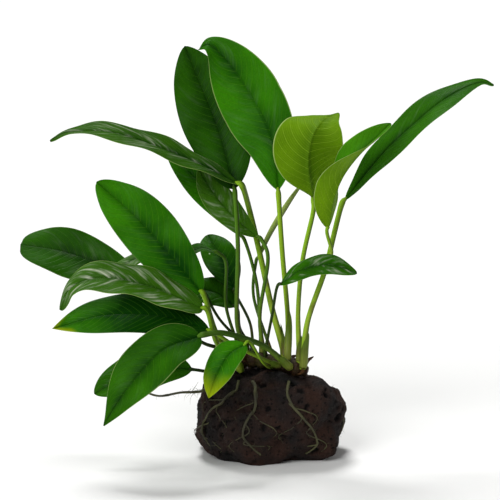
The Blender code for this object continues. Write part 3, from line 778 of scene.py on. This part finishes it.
def upper_side_at(leaf, u):
    """Where the blade's upper side looks at a share u of its length."""
    step = min(int(u * (len(leaf.faces) - 1)), len(leaf.faces) - 2)
    start, end = Vector(leaf.faces[step]), Vector(leaf.faces[step + 1])
    return start.normalized().lerp(end.normalized(), u * (len(leaf.faces) - 1) - step)


def make_blade(name, leaf, seed, tree, skins):
    """The blade of one leaf, on a guide along its midrib."""
    places = smooth_path(leaf.blade, BLADE_ROWS)
    length = sum((end - start).length for start, end in zip(places, places[1:]))
    guide = guide_mesh(name, [places], facing=[upper_side_at(leaf, u) for u in shares(BLADE_ROWS)],
                       forward=[direction_at(places, index) for index in range(BLADE_ROWS)])
    look = LOOKS[name]
    upper, under = skins[look.skin]
    piece = grow("leaf_blade_" + name, guide, tree,
                 width=leaf.width * MM, crest=math.log(0.5) / math.log(leaf.widest),
                 base_sharpness=leaf.ends[0], tip_sharpness=leaf.ends[1],
                 fold=float(leaf.fold), curl=float(leaf.curl), thickness=BLADE_THICKNESS * MM,
                 rib_height=leaf.stem_width * RIB_HEIGHT_SHARE * MM,
                 rib_width=leaf.stem_width * RIB_WIDTH_SHARE * MM,
                 vein_pairs=float(round(length / VEIN_SPACING)), vein_depth=VEIN_DEPTH * MM,
                 margin_wave=look.wave * MM, waves=look.waves, unevenness=UNEVENNESS * MM,
                 yellowing=look.yellowing, haze=look.haze, pale_rim=look.rim, dark_base=look.dark,
                 leaf_seed=seed, upper_side=upper, underside=under)
    finish_piece(piece, "young_leaf" if look.skin == "young" else "leaf", "blade_" + name)


# ---------------------------------------------------------------- stems, rhizome and roots

def tube_tree():
    """A round, capped tube along its guide, as thick as the guide's radius at each point.

    It leaves three attributes for its material: `ring`, the way out from the middle with the distance
    along as its third part; `share`, from 0 at the foot to 1 at the end; and the side for painted
    light, highest where the stem faces the lights and lowest on the far side, where the finish paints
    shade.
    """
    tree = bpy.data.node_groups.new("Stem tube", "GeometryNodeTree")
    given = named_inputs(tree, {
        "Guide": "Geometry", "Sides": 16, "Knobs": 0.0001, "Knob Size": 0.003, "Rings": 0.0,
        "Ring Depth": 0.0, "Flute": 0.0, "Seed": 0.0, "Skin": "Material"})
    line = add_node(tree, "GeometryNodeMeshToCurve", {"Mesh": given["Guide"]})
    share = add_node(tree, "GeometryNodeSplineParameter")
    line = store(line, "share", share)
    line = store(line, "distance", share.part("Length"))
    circle = add_node(tree, "GeometryNodeCurvePrimitiveCircle",
                      {"Resolution": given["Sides"], "Radius": 1.0})
    circle = store(circle, "ring", position(tree), "FLOAT_VECTOR")
    tube = add_node(tree, "GeometryNodeCurveToMesh",
                    {"Curve": line, "Profile Curve": circle, "Scale": read(tree, "radius"),
                     "Fill Caps": True})
    across, around, _ = split(read(tree, "ring", "FLOAT_VECTOR"))
    tube = store(tube, "ring", combine(tree, across, around, read(tree, "distance")), "FLOAT_VECTOR")
    normal = add_node(tree, "GeometryNodeInputNormal")
    to_right, to_back, _ = split(normal)
    # How far each side faces the lights, for the stem's painted light and shade
    tube = store(tube, "sun_side", to_right * -SUN_FROM_LEFT - to_back * SUN_FROM_FRONT)
    knobs = rough_noise(vector_math("DIVIDE", position(tree), combine(tree, *[given["Knob Size"]] * 3)),
                        seed=given["Seed"])
    scars = wave_to_line(read(tree, "share") * given["Rings"] + knobs * 0.35, 0.22)
    fluting = ramp(absolute(across), 0.55, 0.0) * ramp(around, 0.2, 1.0)
    lift = knobs * given["Knobs"] * 2 - scars * given["Ring Depth"] - fluting * given["Flute"]
    tube = finish_shape(tube, given["Skin"], Offset=scaled(normal, lift))
    named_outputs(tree, "Geometry", {"Shape": tube})
    return tree


def make_tube(name, slot, node, places, radii, tree, skin, **sizes):
    """A tube that stands for one solid node."""
    guide = guide_mesh(name, [places], radius=[radius * MM for radius in radii])
    finish_piece(grow(name, guide, tree, skin=skin, **sizes), slot, node)


def make_rolled_leaf(name, leaf, tree, skin):
    """A leaf that hasn't opened yet: a pointed roll with a groove where its margin laps over."""
    radii = []
    for u in shares(STEM_POINTS):
        swell = ROLL_FOOT + (1 - ROLL_FOOT) * math.sin(math.pi * min(1.0, u * 1.1))
        radii.append(leaf.width / 2 * swell * (1 - u ** 6))
    radii[-1] = ROLL_TIP_RADIUS
    make_tube("leaf_rolled_" + name, "young_leaf", "blade_" + name, smooth_path(leaf.blade, STEM_POINTS),
              radii, tree, skin, sides=24, knobs=0.04 * MM, knob_size=5 * MM, flute=0.55 * MM, seed=3.0)


def stem_radii(leaf):
    """Thicker in the sheath at the foot, a slight knee below the blade, and a taper into the rib."""
    radii = []
    for u in shares(STEM_POINTS):
        swell = 1 + (STEM_SHEATH_SWELL - 1) * max(0.0, 1 - u / STEM_SHEATH_SHARE)
        swell += (STEM_KNEE_SWELL - 1) * math.exp(-((u - STEM_KNEE_AT) / STEM_KNEE_SPREAD) ** 2)
        neck = max(0.0, (u - STEM_NECK_FROM) / (1 - STEM_NECK_FROM))
        radii.append(leaf.stem_width / 2 * swell * (1 - STEM_NECK_THINNING * neck ** 1.5))
    return radii


def make_stem(name, leaf, seed, tree, skins):
    """The stem of one leaf, from its seat to just inside its blade."""
    make_tube("leaf_stem_" + name, "stem", "stem_" + name, smooth_path(stem_points(leaf), STEM_POINTS),
              stem_radii(leaf), tree, skins[LOOKS[name].stem], knobs=0.05 * MM, knob_size=4 * MM,
              flute=0.12 * MM, seed=seed)


def make_rhizome(tree, skin):
    """The creeping stem, ringed by the scars of old leaves, thinner at both ends."""
    radii = []
    for u in shares(RHIZOME_FINE_POINTS):
        end = min(1.0, RHIZOME_END_SHARE + RHIZOME_END_SWELL * min(u, 1 - u))
        knot = math.cos(2 * math.pi * RHIZOME_KNOTS * u)
        radii.append((RHIZOME_RADIUS + RHIZOME_KNOT_HEIGHT * knot) * end)
    make_tube("rhizome_creeping_stem", "rhizome", "rhizome",
              smooth_path(RHIZOME_PATH, RHIZOME_FINE_POINTS), radii, tree, skin, sides=40,
              knobs=0.45 * MM, knob_size=3 * MM, rings=RHIZOME_SCARS, ring_depth=0.35 * MM, seed=2.0)


def make_bud(tree, skin):
    """The pointed bud that the rhizome grows from, swollen a little way above its foot."""
    places = [Vector(BUD_FOOT).lerp(Vector(BUD_TIP), u) for u in shares(BUD_POINTS)]
    radii = [BUD_RADIUS * max(BUD_TIP_SHARE, math.sin(math.pi * (0.25 + 0.75 * u)))
             for u in shares(BUD_POINTS)]
    make_tube("growing_tip_bud", "young_leaf", "growing_bud", places, radii, tree, skin, sides=20,
              knobs=0.12 * MM, knob_size=3 * MM, flute=0.5 * MM, seed=5.0)


def sheath_tree():
    """A thin scale that wraps a stem's foot, open along one side and narrowing to a free tip."""
    tree = bpy.data.node_groups.new("Stem sheath", "GeometryNodeTree")
    given = named_inputs(tree, {
        "Guide": "Geometry", "Rows": SHEATH_ROWS, "Columns": SHEATH_COLUMNS, "Half Wrap": 150.0,
        "Gap": 0.0002, "Flare": 0.0002, "Thickness": 0.0003, "Raggedness": 0.0002, "Seed": 0.0,
        "Skin": "Material"})
    sheet = sheet_on_guide(tree, given)
    along = sheet.along
    across = sheet.even
    ragged = rough_noise(combine(tree, across * sheet.hand, along * 3), 3.0, seed=given["Seed"])
    wrap = given["Half Wrap"] * calculate(tree, "MAXIMUM", 1 - along ** 1.6, 0.02) * math.radians(1)
    angle = across * sheet.hand * wrap
    thick = given["Thickness"] * 0.5 * (1 - across ** 5) * ramp(along, 1.0, 0.9) * ramp(along, 0.0, 0.04)
    reach = sheet.from_guide(read(tree, "radius"), "FLOAT") + given["Gap"]
    reach = reach + given["Flare"] * along * along + thick * sign(1 - sheet.spread)
    reach = reach + ragged * given["Raggedness"] * (0.3 + along)
    spoke = total(scaled(sheet.facing, cosine(angle)), scaled(sheet.side, sine(angle)))
    ring = combine(tree, cosine(angle), sine(angle), along * 0.01)
    shape = store(store(sheet.flat, "share", along), "ring", ring, "FLOAT_VECTOR")
    shape = finish_shape(shape, given["Skin"], Position=total(sheet.middle, scaled(spoke, reach)))
    named_outputs(tree, "Geometry", {"Shape": shape})
    return tree


def make_sheath(name, route, first, last, radius, tree, skin, **sizes):
    """A sheath along part of a route; it faces away from the rhizome's middle."""
    places = smooth_path(route, STEM_POINTS)
    start, end = round(first * (STEM_POINTS - 1)), round(last * (STEM_POINTS - 1))
    part = smooth_path(places[start:end + 1:3] + [places[end]], SHEATH_ROWS)
    forward = [direction_at(part, index) for index in range(SHEATH_ROWS)]
    outwards = Vector((part[0].x * 0.5, part[0].y + 4, 0)).normalized()
    facing = [(outwards - along * outwards.dot(along)).normalized() for along in forward]
    guide = guide_mesh(name, [part], forward=forward, facing=facing, radius=[radius * MM] * SHEATH_ROWS)
    finish_piece(grow(name, guide, tree, skin=skin, **sizes), "stem")


def make_sheaths(tree, fresh, withered):
    """A green sheath at the foot of each thick stem, and old brown ones left on the rhizome."""
    for number, (name, share) in enumerate(GREEN_SHEATHS.items()):
        leaf = LEAVES[name]
        make_sheath("stem_sheath_" + name, stem_points(leaf), SHEATH_FOOT, share,
                    leaf.stem_width / 2 * STEM_SHEATH_SWELL, tree, fresh, seed=float(number))
    for number, (share, degrees, length) in enumerate(OLD_SHEATHS):
        centre, out = rhizome_place(share, degrees)
        lean = Vector((0, 0, length * OLD_SHEATH_LEAN))
        route = [centre + out * (OLD_SHEATH_FOOT + length * part) + lean * rise
                 for part, rise in ((0, 0), (0.5, 0.3), (1, 1))]
        make_sheath(f"old_sheath_{number + 1}", route, 0.0, 1.0, OLD_SHEATH_RADIUS, tree, withered,
                    half_wrap=95.0, flare=0.0024, raggedness=0.0016, seed=20.0 + number)


def hair_tree():
    """Short bent hairs, scattered along the guide lines and turned every way."""
    tree = bpy.data.node_groups.new("Root hairs", "GeometryNodeTree")
    given = named_inputs(tree, {
        "Guide": "Geometry", "Spacing": 0.0006, "Length": 0.003, "Thickness": 0.00006, "Seed": 1,
        "Skin": "Material"})
    line = add_node(tree, "GeometryNodeMeshToCurve", {"Mesh": given["Guide"]})
    points = add_node(tree, "GeometryNodeCurveToPoints", {"Curve": line, "Length": given["Spacing"]},
                      mode="LENGTH")
    bent = add_node(tree, "GeometryNodeCurveQuadraticBezier", {
        "Resolution": 4, "Start": (0, 0, 0), "Middle": (0.35, 0.1, 0.45), "End": (0.1, 0.3, 1.0)})
    bent = add_node(tree, "GeometryNodeTransform",
                    {"Geometry": bent, "Scale": combine(tree, *[given["Length"]] * 3)})
    circle = add_node(tree, "GeometryNodeCurvePrimitiveCircle",
                      {"Resolution": 3, "Radius": given["Thickness"]})
    taper = 1 - add_node(tree, "GeometryNodeSplineParameter") * 0.8
    hair = add_node(tree, "GeometryNodeCurveToMesh",
                    {"Curve": bent, "Profile Curve": circle, "Scale": taper, "Fill Caps": True})
    turned = add_node(tree, "FunctionNodeRandomValue", {1: (WHOLE_TURN,) * 3, "Seed": given["Seed"]},
                      data_type="FLOAT_VECTOR")
    size = add_node(tree, "FunctionNodeRandomValue", {2: 0.4, 3: 1.3}, output=1)
    hairs = add_node(tree, "GeometryNodeInstanceOnPoints",
                     {"Points": points, "Instance": hair, "Rotation": turned, "Scale": size})
    hairs = add_node(tree, "GeometryNodeRealizeInstances", {"Geometry": hairs})
    named_outputs(tree, "Geometry", {"Shape": paint(hairs, given["Skin"])})
    return tree


def stone_ground():
    """The stone's solid, merged into one surface, and a finder of places on it."""
    shape = bmesh.new()
    shape.from_mesh(frame["nodes"]["stone"].data)
    bmesh.ops.remove_doubles(shape, verts=shape.verts, dist=0.00001)
    mesh = bpy.data.meshes.new("stone surface")
    shape.to_mesh(mesh)
    ground = BVHTree.FromBMesh(shape)
    shape.free()
    return mesh, ground


def root_bearing(start, end, wander, u):
    """Where a root is at a share u of its way: degrees round the stone, and degrees up."""
    return (start[0] + (end[0] - start[0]) * u + wander * math.sin(2 * math.pi * u),
            start[1] + (end[1] - start[1]) * u)


def creeping_root_path(ground, start, end, wander, width):
    """Places that follow the stone's surface from one bearing to another."""
    middle = Vector((0, 0, STONE_MIDDLE_Z))
    places = []
    for u in shares(ROOT_POINTS):
        bearing, height = (math.radians(part) for part in root_bearing(start, end, wander, u))
        out = Vector((math.cos(bearing) * math.cos(height), math.sin(bearing) * math.cos(height),
                      math.sin(height)))
        hit, normal, _, _ = ground.ray_cast((middle + out * OUTSIDE_STONE) * MM, -out)
        places.append(hit / MM + normal * (width / 2 + ROOT_CLEARANCE))
    return places


def tapering(width, taper, count):
    """Radii that lose a share of themselves from a root's start to its end."""
    return [width / 2 * (1 - taper * index / count) for index in range(count)]


def make_creeping_roots(ground, tree, skin):
    """The roots that stand for solids, and the lines that they follow."""
    routes = {name: (width, creeping_root_path(ground, start, end, wander, width))
              for name, (width, start, end, wander) in CREEPING_ROOTS.items()}
    routes["root_long"] = (LONG_ROOT_WIDTH, LONG_ROOT_PATH)
    lines = []
    for number, (name, (width, route)) in enumerate(routes.items()):
        lines.append(smooth_path(route, ROOT_FINE_POINTS))
        make_tube("creeping_" + name, "root", name, lines[-1],
                  tapering(width, ROOT_TAPER, ROOT_FINE_POINTS), tree, skin, sides=12,
                  knobs=0.16 * MM, knob_size=2.2 * MM, seed=10.0 + number)
    return lines


def rootlet_lines(ground):
    """Rootlets leave each creeping root by turns to the left and to the right, and run downwards."""
    lines = []
    for number, (_, start, end, wander) in enumerate(CREEPING_ROOTS.values()):
        for branch, share in enumerate(shares(ROOTLETS_EACH)):
            hand = 1 if (branch + number) % 2 else -1
            bearing, height = root_bearing(start, end, wander, 0.2 + 0.6 * share)
            reach = ROOTLET_REACH + ROOTLET_REACH_SWING * math.sin(branch * 2.3 + number)
            far = (bearing + hand * reach, max(height - ROOTLET_DROP, ROOTLET_LOWEST))
            route = creeping_root_path(ground, (bearing, height), far, -hand * ROOTLET_WANDER,
                                       ROOTLET_WIDTH)
            lines.append(smooth_path(route, ROOTLET_POINTS))
    return lines


def make_roots(ground, tree, skin, hairs, hair_skin):
    """The roots, the thin rootlets that branch from them over the stone, and their hairs."""
    lines = make_creeping_roots(ground, tree, skin)
    rootlets = rootlet_lines(ground)
    radii = tapering(ROOTLET_WIDTH * MM, ROOTLET_TAPER, ROOTLET_POINTS) * len(rootlets)
    finish_piece(grow("fine_rootlets", guide_mesh("rootlets", rootlets, radius=radii), tree, skin=skin,
                      sides=6, knobs=0.12 * MM, knob_size=1.6 * MM, seed=31.0), "root")
    finish_piece(grow("root_hairs", guide_mesh("root hairs", lines + rootlets), hairs, skin=hair_skin,
                      length=HAIR_LENGTH * MM), "root")
    tuft = lines[-1][round(TUFT_FROM * ROOT_FINE_POINTS):round(TUFT_TO * ROOT_FINE_POINTS)]
    finish_piece(grow("root_hair_tuft", guide_mesh("tuft", [tuft]), hairs, skin=skin,
                      length=TUFT_LENGTH * MM, thickness=TUFT_THICKNESS * MM,
                      spacing=TUFT_SPACING * MM, seed=5), "root")


def stone_tree():
    """Roughens the stone's surface with crags and gas pits, but leaves its underside flat."""
    tree = bpy.data.node_groups.new("Lava stone", "GeometryNodeTree")
    given = named_inputs(tree, {
        "Guide": "Geometry", "Finer": 3, "Crag Size": 0.016, "Crag Height": 0.0024,
        "Crumb Height": 0.0012, "Pit Size": 0.0062, "Pit Depth": 0.0022, "Small Pit Size": 0.0028,
        "Small Pit Depth": 0.0011, "Skin": "Material"})
    here = position(tree)
    height = split(here)[2]
    foot = calculate(tree, "LESS_THAN", height, 0.0001)
    shape = add_node(tree, "GeometryNodeSubdivisionSurface",
                     {"Mesh": given["Guide"], "Level": given["Finer"], "Edge Crease": foot})
    crags = rough_noise(here, 1 / given["Crag Size"], 4.0, 0.6, seed=3.0)
    crags = absolute(crags) * -4 + 0.6
    crumbs = rough_noise(here, 420.0, 4.0, 0.65, seed=6.0)

    def pits(kind, share, seed):
        """How deep the pits of one kind are here; a share of their cells has one."""
        size = given[kind + " Size"]
        bend = add_node(tree, "ShaderNodeTexNoise", {"Vector": here, "Scale": 300.0, "W": seed},
                        output=1, noise_dimensions="4D")
        bend = vector_math("SUBTRACT", bend, (0.5, 0.5, 0.5))
        cells = add_node(tree, "ShaderNodeTexVoronoi",
                         {"Vector": total(here, scaled(bend, size * 0.9)), "W": seed,
                          "Scale": 1 / size}, voronoi_dimensions="4D")
        luck = split(cells.part("Color"))[0]
        return ramp(cells, 0.46, 0.18) * ramp(luck, 1 - share, 1.15 - share) * given[kind + " Depth"]

    hollow = pits("Pit", 0.75, 1.0) + pits("Small Pit", 0.8, 5.0)
    lift = crags * given["Crag Height"] + crumbs * given["Crumb Height"] - hollow
    normal = add_node(tree, "GeometryNodeInputNormal")
    shape = store(shape, "pit", hollow / given["Pit Depth"])
    shape = finish_shape(shape, given["Skin"], seam=None,
                         Offset=scaled(normal, lift * ramp(height, 0.0004, 0.004)))
    named_outputs(tree, "Geometry", {"Shape": shape})
    return tree


# ---------------------------------------------------------------- materials

def stored(tree, name, output="Fac"):
    """What a piece's own tree left on its mesh."""
    return add_node(tree, "ShaderNodeAttribute", output=output, attribute_name=name)


def object_place(tree):
    """Object coordinates, in metres from the origin."""
    return add_node(tree, "ShaderNodeTexCoord", output="Object")


def mix_colour(share, first, second):
    """The first colour where the share is 0 and the second where it is 1."""
    first, second = (colour if isinstance(colour, Value) else (*colour, 1) for colour in (first, second))
    return add_node(share.tree, "ShaderNodeMix", {0: share, 6: first, 7: second}, output=2,
                    data_type="RGBA")


def tinted(colour, share):
    """A darker or lighter tone of a plain colour."""
    return [part * share for part in colour]


def use_group(tree, group, **inputs):
    """Places a shader group in a material and gives its outputs by name."""
    node = tree.nodes.new("ShaderNodeGroup")
    node.node_tree = group
    for socket in node.inputs:
        if plain_label(socket.name) in inputs:
            connect(tree, inputs[plain_label(socket.name)], socket)
    return {socket.name: Value(tree, socket) for socket in node.outputs}


def new_finish(name):
    """A new material and its node tree."""
    material = bpy.data.materials.new(name)
    material.use_nodes = True
    return material, material.node_tree


def finish_surface(tree, colour, roughness, gloss=0.5, height=None, proud=0.0):
    """Sets the shader's colour, roughness and gloss, and its relief, where 1 stands `proud` metres."""
    shader = tree.nodes["Principled BSDF"]
    shader.inputs["Metallic"].default_value = 0.0
    shader.inputs["Specular IOR Level"].default_value = gloss
    connect(tree, colour, shader.inputs["Base Color"])
    connect(tree, roughness, shader.inputs["Roughness"])
    if height is not None:
        normal = add_node(tree, "ShaderNodeBump", {"Height": height, "Distance": proud, "Strength": 1.0})
        connect(tree, normal, shader.inputs["Normal"])


def vein_group():
    """Where the veins, the midrib and the rim lie on a blade, and the streaks of its painted sheen,
    from the blade's own UV map.
    """
    group = bpy.data.node_groups.new("Blade veins", "ShaderNodeTree")
    given = named_inputs(group, {"UV": "Vector", "Line Width": 0.12})
    left_to_right, along, _ = split(given["UV"])
    turn = left_to_right * 4 - 2
    across = 1 - absolute(absolute(turn) - 1)
    seed = stored(group, "leaf_seed") + sign(turn) * HALVES_APART
    phase = vein_phase(along, across, stored(group, "vein_pairs"), seed)
    fade = ramp(across, 1.0, 0.8)
    ridge = 1 - wave_to_line(phase, 0.9)
    # Streaks along the ridges between the side veins, where the painted sheen goes
    bloom = rough_noise(combine(group, phase * 0.9, across * 1.3), 1.0, 3.0, 0.6, seed=seed)
    bloom = ramp(bloom, -0.02, 0.22) * (ridge * 0.7 + 0.3) * ramp(across, 1.0, 0.75)
    named_outputs(group, "Float", {
        "Side Veins": wave_to_line(phase, given["Line Width"]) * fade,
        "Fine Veins": wave_to_line(phase * 4, 0.3) * fade,
        "Bloom": bloom * ramp(along, 0.02, 0.22) * ramp(along, 1.0, 0.85),
        "Midrib": ramp(across, 0.10, 0.02) * ramp(along, 1.0, 0.2),
        "Rim": ramp(across, 0.96, 0.985), "Along": along, "Across": across})
    return group


def speck_group():
    """Small pale dots, each in its own cell, in a share of the cells."""
    group = bpy.data.node_groups.new("Pale specks", "ShaderNodeTree")
    given = named_inputs(group, {"Cells": 260.0, "Share": 0.06, "Dot": 0.16})
    cells = add_node(group, "ShaderNodeTexVoronoi",
                     {"Vector": object_place(group), "Scale": given["Cells"]})
    chosen = calculate(group, "LESS_THAN", split(cells.part("Color"))[0], given["Share"])
    named_outputs(group, "Float", {"Specks": ramp(cells, given["Dot"], given["Dot"] * 0.4) * chosen})
    return group


def mottle_group():
    """Broad, soft patches and a fine grain on Object coordinates."""
    group = bpy.data.node_groups.new("Mottling", "ShaderNodeTree")
    given = named_inputs(group, {"Patch Size": 0.012, "Grain Size": 0.0006, "Seed": 0.0})
    place = object_place(group)
    patches = rough_noise(place, 1 / given["Patch Size"], 3.0, seed=given["Seed"])
    grain = rough_noise(place, 1 / given["Grain Size"], 2.0, seed=given["Seed"])
    named_outputs(group, "Float", {"Patches": ramp(patches, -0.2, 0.2),
                                   "Grain": ramp(grain, -0.3, 0.3)})
    return group


def streak_group():
    """Streaks along a tube and small flecks, on the tube's own ring and distance."""
    group = bpy.data.node_groups.new("Fibre streaks", "ShaderNodeTree")
    given = named_inputs(group, {"Fineness": 5.0, "Length": 0.03, "Fleck Size": 0.002})
    across, around, distance = split(stored(group, "ring", "Vector"))
    stretched = combine(group, across * given["Fineness"], around * given["Fineness"],
                        distance / given["Length"])
    dotted = combine(group, across * 2, around * 2, distance / given["Fleck Size"])
    streaks = rough_noise(stretched, seed=4.0)
    flecks = rough_noise(dotted, 1.0, 1.0, seed=9.0)
    named_outputs(group, "Float", {"Streaks": ramp(streaks, -0.15, 0.25),
                                   "Flecks": ramp(flecks, 0.16, 0.30)})
    return group


def leaf_finish(name, deep, light, line, rib, roughness, groups, specks=0.0, lines=0.26):
    """A blade's skin: broad patches, lighter veins and midrib, a thin rim and an older, yellow tip, with
    painted shade towards the midrib and at the base (painted light there on some leaves) and streaks of
    painted sheen.
    """
    material, tree = new_finish(name)
    marks = use_group(tree, groups["veins"], uv=add_node(tree, "ShaderNodeUVMap", uv_map="UVMap"))
    mottle = use_group(tree, groups["mottle"], patch_size=0.022, grain_size=0.0007,
                       seed=stored(tree, "leaf_seed"))
    dots = use_group(tree, groups["specks"], share=specks)
    yellowing = stored(tree, "yellowing")
    # Random patches of tone, with painted shade towards the midrib and towards the base; a negative base
    # amount paints light at the base instead
    shade = limit(ramp(marks["Across"], 0.0, 0.5) * 0.45 + mottle["Patches"] * 0.55
                  + 0.1 - ramp(marks["Along"], 0.85, 0.25) * stored(tree, "dark_base") * 0.8)
    old = ramp(marks["Along"] + mottle["Patches"] * 0.12 + marks["Across"] * 0.1,
               1.12 - yellowing * 1.4, 1.14) * calculate(tree, "GREATER_THAN", yellowing, 0.01)
    colour = mix_colour(shade, deep, light)
    colour = mix_colour(marks["Side Veins"] * lines + marks["Fine Veins"] * lines * 0.5, colour, line)
    colour = mix_colour(mottle["Grain"] * 0.25, colour, deep)
    colour = mix_colour(old * 0.85, colour, OLD_LEAF)
    # Painted sheen: pale grey streaks that stand for the overhead light's reflection
    colour = mix_colour(marks["Bloom"] * stored(tree, "haze"), colour, HAZE)
    colour = mix_colour(marks["Midrib"] * 0.3, colour, rib)
    colour = mix_colour(marks["Rim"] * stored(tree, "pale_rim"), colour, PALE_RIM)
    colour = mix_colour(dots["Specks"] * 0.8, colour, SPECK)
    finish_surface(tree, colour, mottle["Grain"] * 0.10 + (roughness - 0.05) - marks["Fine Veins"] * 0.04,
                   LEAF_GLOSS, marks["Fine Veins"] * -0.5 - marks["Side Veins"] + mottle["Grain"] * 0.2,
                   0.00010)
    return material


def stem_finish(name, foot, top, groups):
    """Fine length-wise streaks, paler or browner towards the foot, with painted light on the side that
    faces the lights and painted shade on the far side.
    """
    material, tree = new_finish(name)
    streaks = use_group(tree, groups["streaks"])
    mottle = use_group(tree, groups["mottle"], patch_size=0.016, grain_size=0.0006, seed=12.0)
    share = stored(tree, "share")
    sun = stored(tree, "sun_side") + streaks["Streaks"] * 0.3
    blush = ramp(mottle["Patches"], 0.65, 1.0) * ramp(share, 0.75, 0.45) * 0.55
    colour = mix_colour(ramp(share, 0.05, 0.65), foot, top)
    # Painted shade on the side away from the lights, then painted light on the side that faces them
    colour = mix_colour(ramp(sun, 0.5, -0.35) * 0.85, colour, tinted(top, 0.2))
    colour = mix_colour(ramp(sun, 0.5, 1.0) * 0.6, colour, tinted(top, 1.8))
    colour = mix_colour(streaks["Streaks"] * 0.4, colour, tinted(top, 0.45))
    colour = mix_colour(streaks["Flecks"] * 0.5, colour, tinted(top, 1.6))
    colour = mix_colour(blush, colour, STEM_BLUSH)
    finish_surface(tree, colour, streaks["Streaks"] * 0.15 + 0.32, STEM_GLOSS, streaks["Streaks"],
                   0.00008)
    return material


def bark_finish(name, bark, first, second, streak, groups):
    """A matt, fibrous skin in patches of two colours, with streaks along it."""
    material, tree = new_finish(name)
    streaks = use_group(tree, groups["streaks"], fineness=bark.fineness, length=bark.streak_length)
    mottle = use_group(tree, groups["mottle"], **bark.patches)
    colour = mix_colour(mottle["Patches"], first, second)
    colour = mix_colour(streaks["Streaks"] * bark.streak_share, colour, streak)
    finish_surface(tree, colour, mottle["Grain"] * 0.2 + bark.roughness, bark.gloss,
                   streaks["Streaks"] + mottle["Grain"] * bark.grain, bark.relief)
    return material


def stone_finish(groups):
    """Black-brown lava with rusty patches, painted shade in its pits and pores, and dusty high places."""
    material, tree = new_finish("lava stone")
    mottle = use_group(tree, groups["mottle"], patch_size=0.014, grain_size=0.0009, seed=7.0)
    pores = use_group(tree, groups["specks"], cells=520.0, share=0.5, dot=0.34)
    crumb = rough_noise(object_place(tree), 900.0, 4.0, 0.65, seed=2.0)
    # Pits and pores darkened nearly to black: painted shade in the hollows
    hollow = limit(ramp(stored(tree, "pit"), 0.1, 0.7) + pores["Specks"] * 0.8)
    colour = mix_colour(mottle["Patches"], LAVA_BLACK, LAVA_RUST)
    colour = mix_colour(ramp(crumb, 0.05, 0.30) * 0.6, colour, LAVA_DUST)
    colour = mix_colour(hollow * 0.85, colour, LAVA_PIT)
    finish_surface(tree, colour, mottle["Grain"] * 0.12 + 0.82, STONE_GLOSS,
                   crumb * 1.6 - pores["Specks"], 0.0009)
    return material


def make_skins(groups):
    """The finishes of the blades, each with an upper side and a paler underside, and of the stems."""
    skins = {}
    for name, (deep, light, line, roughness, specks) in LEAF_SKINS.items():
        under_deep = [part + UNDERSIDE_LIFT for part in tinted(deep, 1.25)]
        under_light = [part + UNDERSIDE_LIFT for part in tinted(light, 1.15)]
        tones = (under_deep, under_light, line, line)
        if name == "young":
            tones = (*YOUNG_UNDERSIDE, YOUNG_RIB)
        skins[name] = (leaf_finish(name + " leaf, upper side", deep, light, line, deep, roughness,
                                   groups, specks),
                       leaf_finish(name + " leaf, underside", *tones, roughness + 0.1, groups,
                                   lines=0.4))
    for name, (foot, top) in STEM_SKINS.items():
        skins[name] = stem_finish(name + " stem", foot, top, groups)
    return skins


# ---------------------------------------------------------------- stage

def make_view():
    """The camera, level with the leaves and a little above them, looking along +Y."""
    sight = math.radians(VIEW_ELEVATION)
    stand = VIEW_CENTRE + Vector((0, -math.cos(sight), math.sin(sight))) * VIEW_DISTANCE
    data = bpy.data.cameras.new("view")
    data.sensor_width = SENSOR_WIDTH
    data.lens = SENSOR_WIDTH * VIEW_DISTANCE / VIEW_WIDTH
    data.dof.use_dof = False
    camera = new_object("view", data)
    camera.location = stand * MM
    camera.rotation_euler = (math.radians(90 - VIEW_ELEVATION), 0, 0)
    bpy.context.scene.camera = camera


def make_light(name, strength, softness, source):
    """A soft light from far off."""
    data = bpy.data.lights.new(name, "SUN")
    data.energy = strength
    data.angle = math.radians(softness)
    new_object(name, data).rotation_euler = Vector(source).to_track_quat("Z", "Y").to_euler()


def make_stage():
    """A plain pale floor, two soft lights and an even glow from all round."""
    mesh = bpy.data.meshes.new("floor")
    shape = bmesh.new()
    bmesh.ops.create_grid(shape, x_segments=2, y_segments=2, size=FLOOR_HALF)
    shape.to_mesh(mesh)
    shape.free()
    material, tree = new_finish("pale floor")
    finish_surface(tree, FLOOR_COLOUR, FLOOR_ROUGHNESS)
    mesh.materials.append(material)
    new_object("floor", mesh)
    make_light("overhead", *OVERHEAD)
    make_light("front fill", *FRONT_FILL)
    world = bpy.data.worlds.new("studio")
    world.use_nodes = True
    sky = world.node_tree.nodes["Background"]
    sky.inputs["Color"].default_value = (1, 1, 1, 1)
    sky.inputs["Strength"].default_value = STUDIO_GLOW
    bpy.context.scene.world = world
    bpy.context.scene.view_settings.view_transform = "Standard"


# ---------------------------------------------------------------- making

def main():
    """The stage, the finishes, and then every piece: leaves, rhizome, roots, sheaths and stone."""
    make_view()
    make_stage()
    groups = {"veins": vein_group(), "specks": speck_group(), "mottle": mottle_group(),
              "streaks": streak_group()}
    skins = make_skins(groups)
    blades = blade_tree()
    tubes = tube_tree()
    for number, (name, leaf) in enumerate(LEAVES.items(), 1):
        if leaf.width > ROLLED_WIDTH:
            make_blade(name, leaf, float(number), blades, skins)
        else:
            make_rolled_leaf(name, leaf, tubes, skins["rolled"])
        make_stem(name, leaf, float(number), tubes, skins)
    make_rhizome(tubes, bark_finish("rhizome bark", RHIZOME_BARK, BARK_RED, BARK_GREEN, BARK_DARK,
                                    groups))
    make_bud(tubes, skins["fresh"])
    stone_surface, ground = stone_ground()
    make_roots(ground, tubes,
               bark_finish("root skin", ROOT_BARK, ROOT_BROWN, ROOT_PALE, ROOT_BROWN, groups),
               hair_tree(),
               bark_finish("root hair", ROOT_BARK, ROOT_PALE, ROOT_BROWN, ROOT_PALE, groups))
    make_sheaths(sheath_tree(), stem_finish("green sheath", *SHEATH_GREEN, groups),
                 stem_finish("withered sheath", *SHEATH_BROWN, groups))
    finish_piece(grow("lava_stone", stone_surface, stone_tree(), skin=stone_finish(groups)),
                 "lava_stone", "stone")


main()
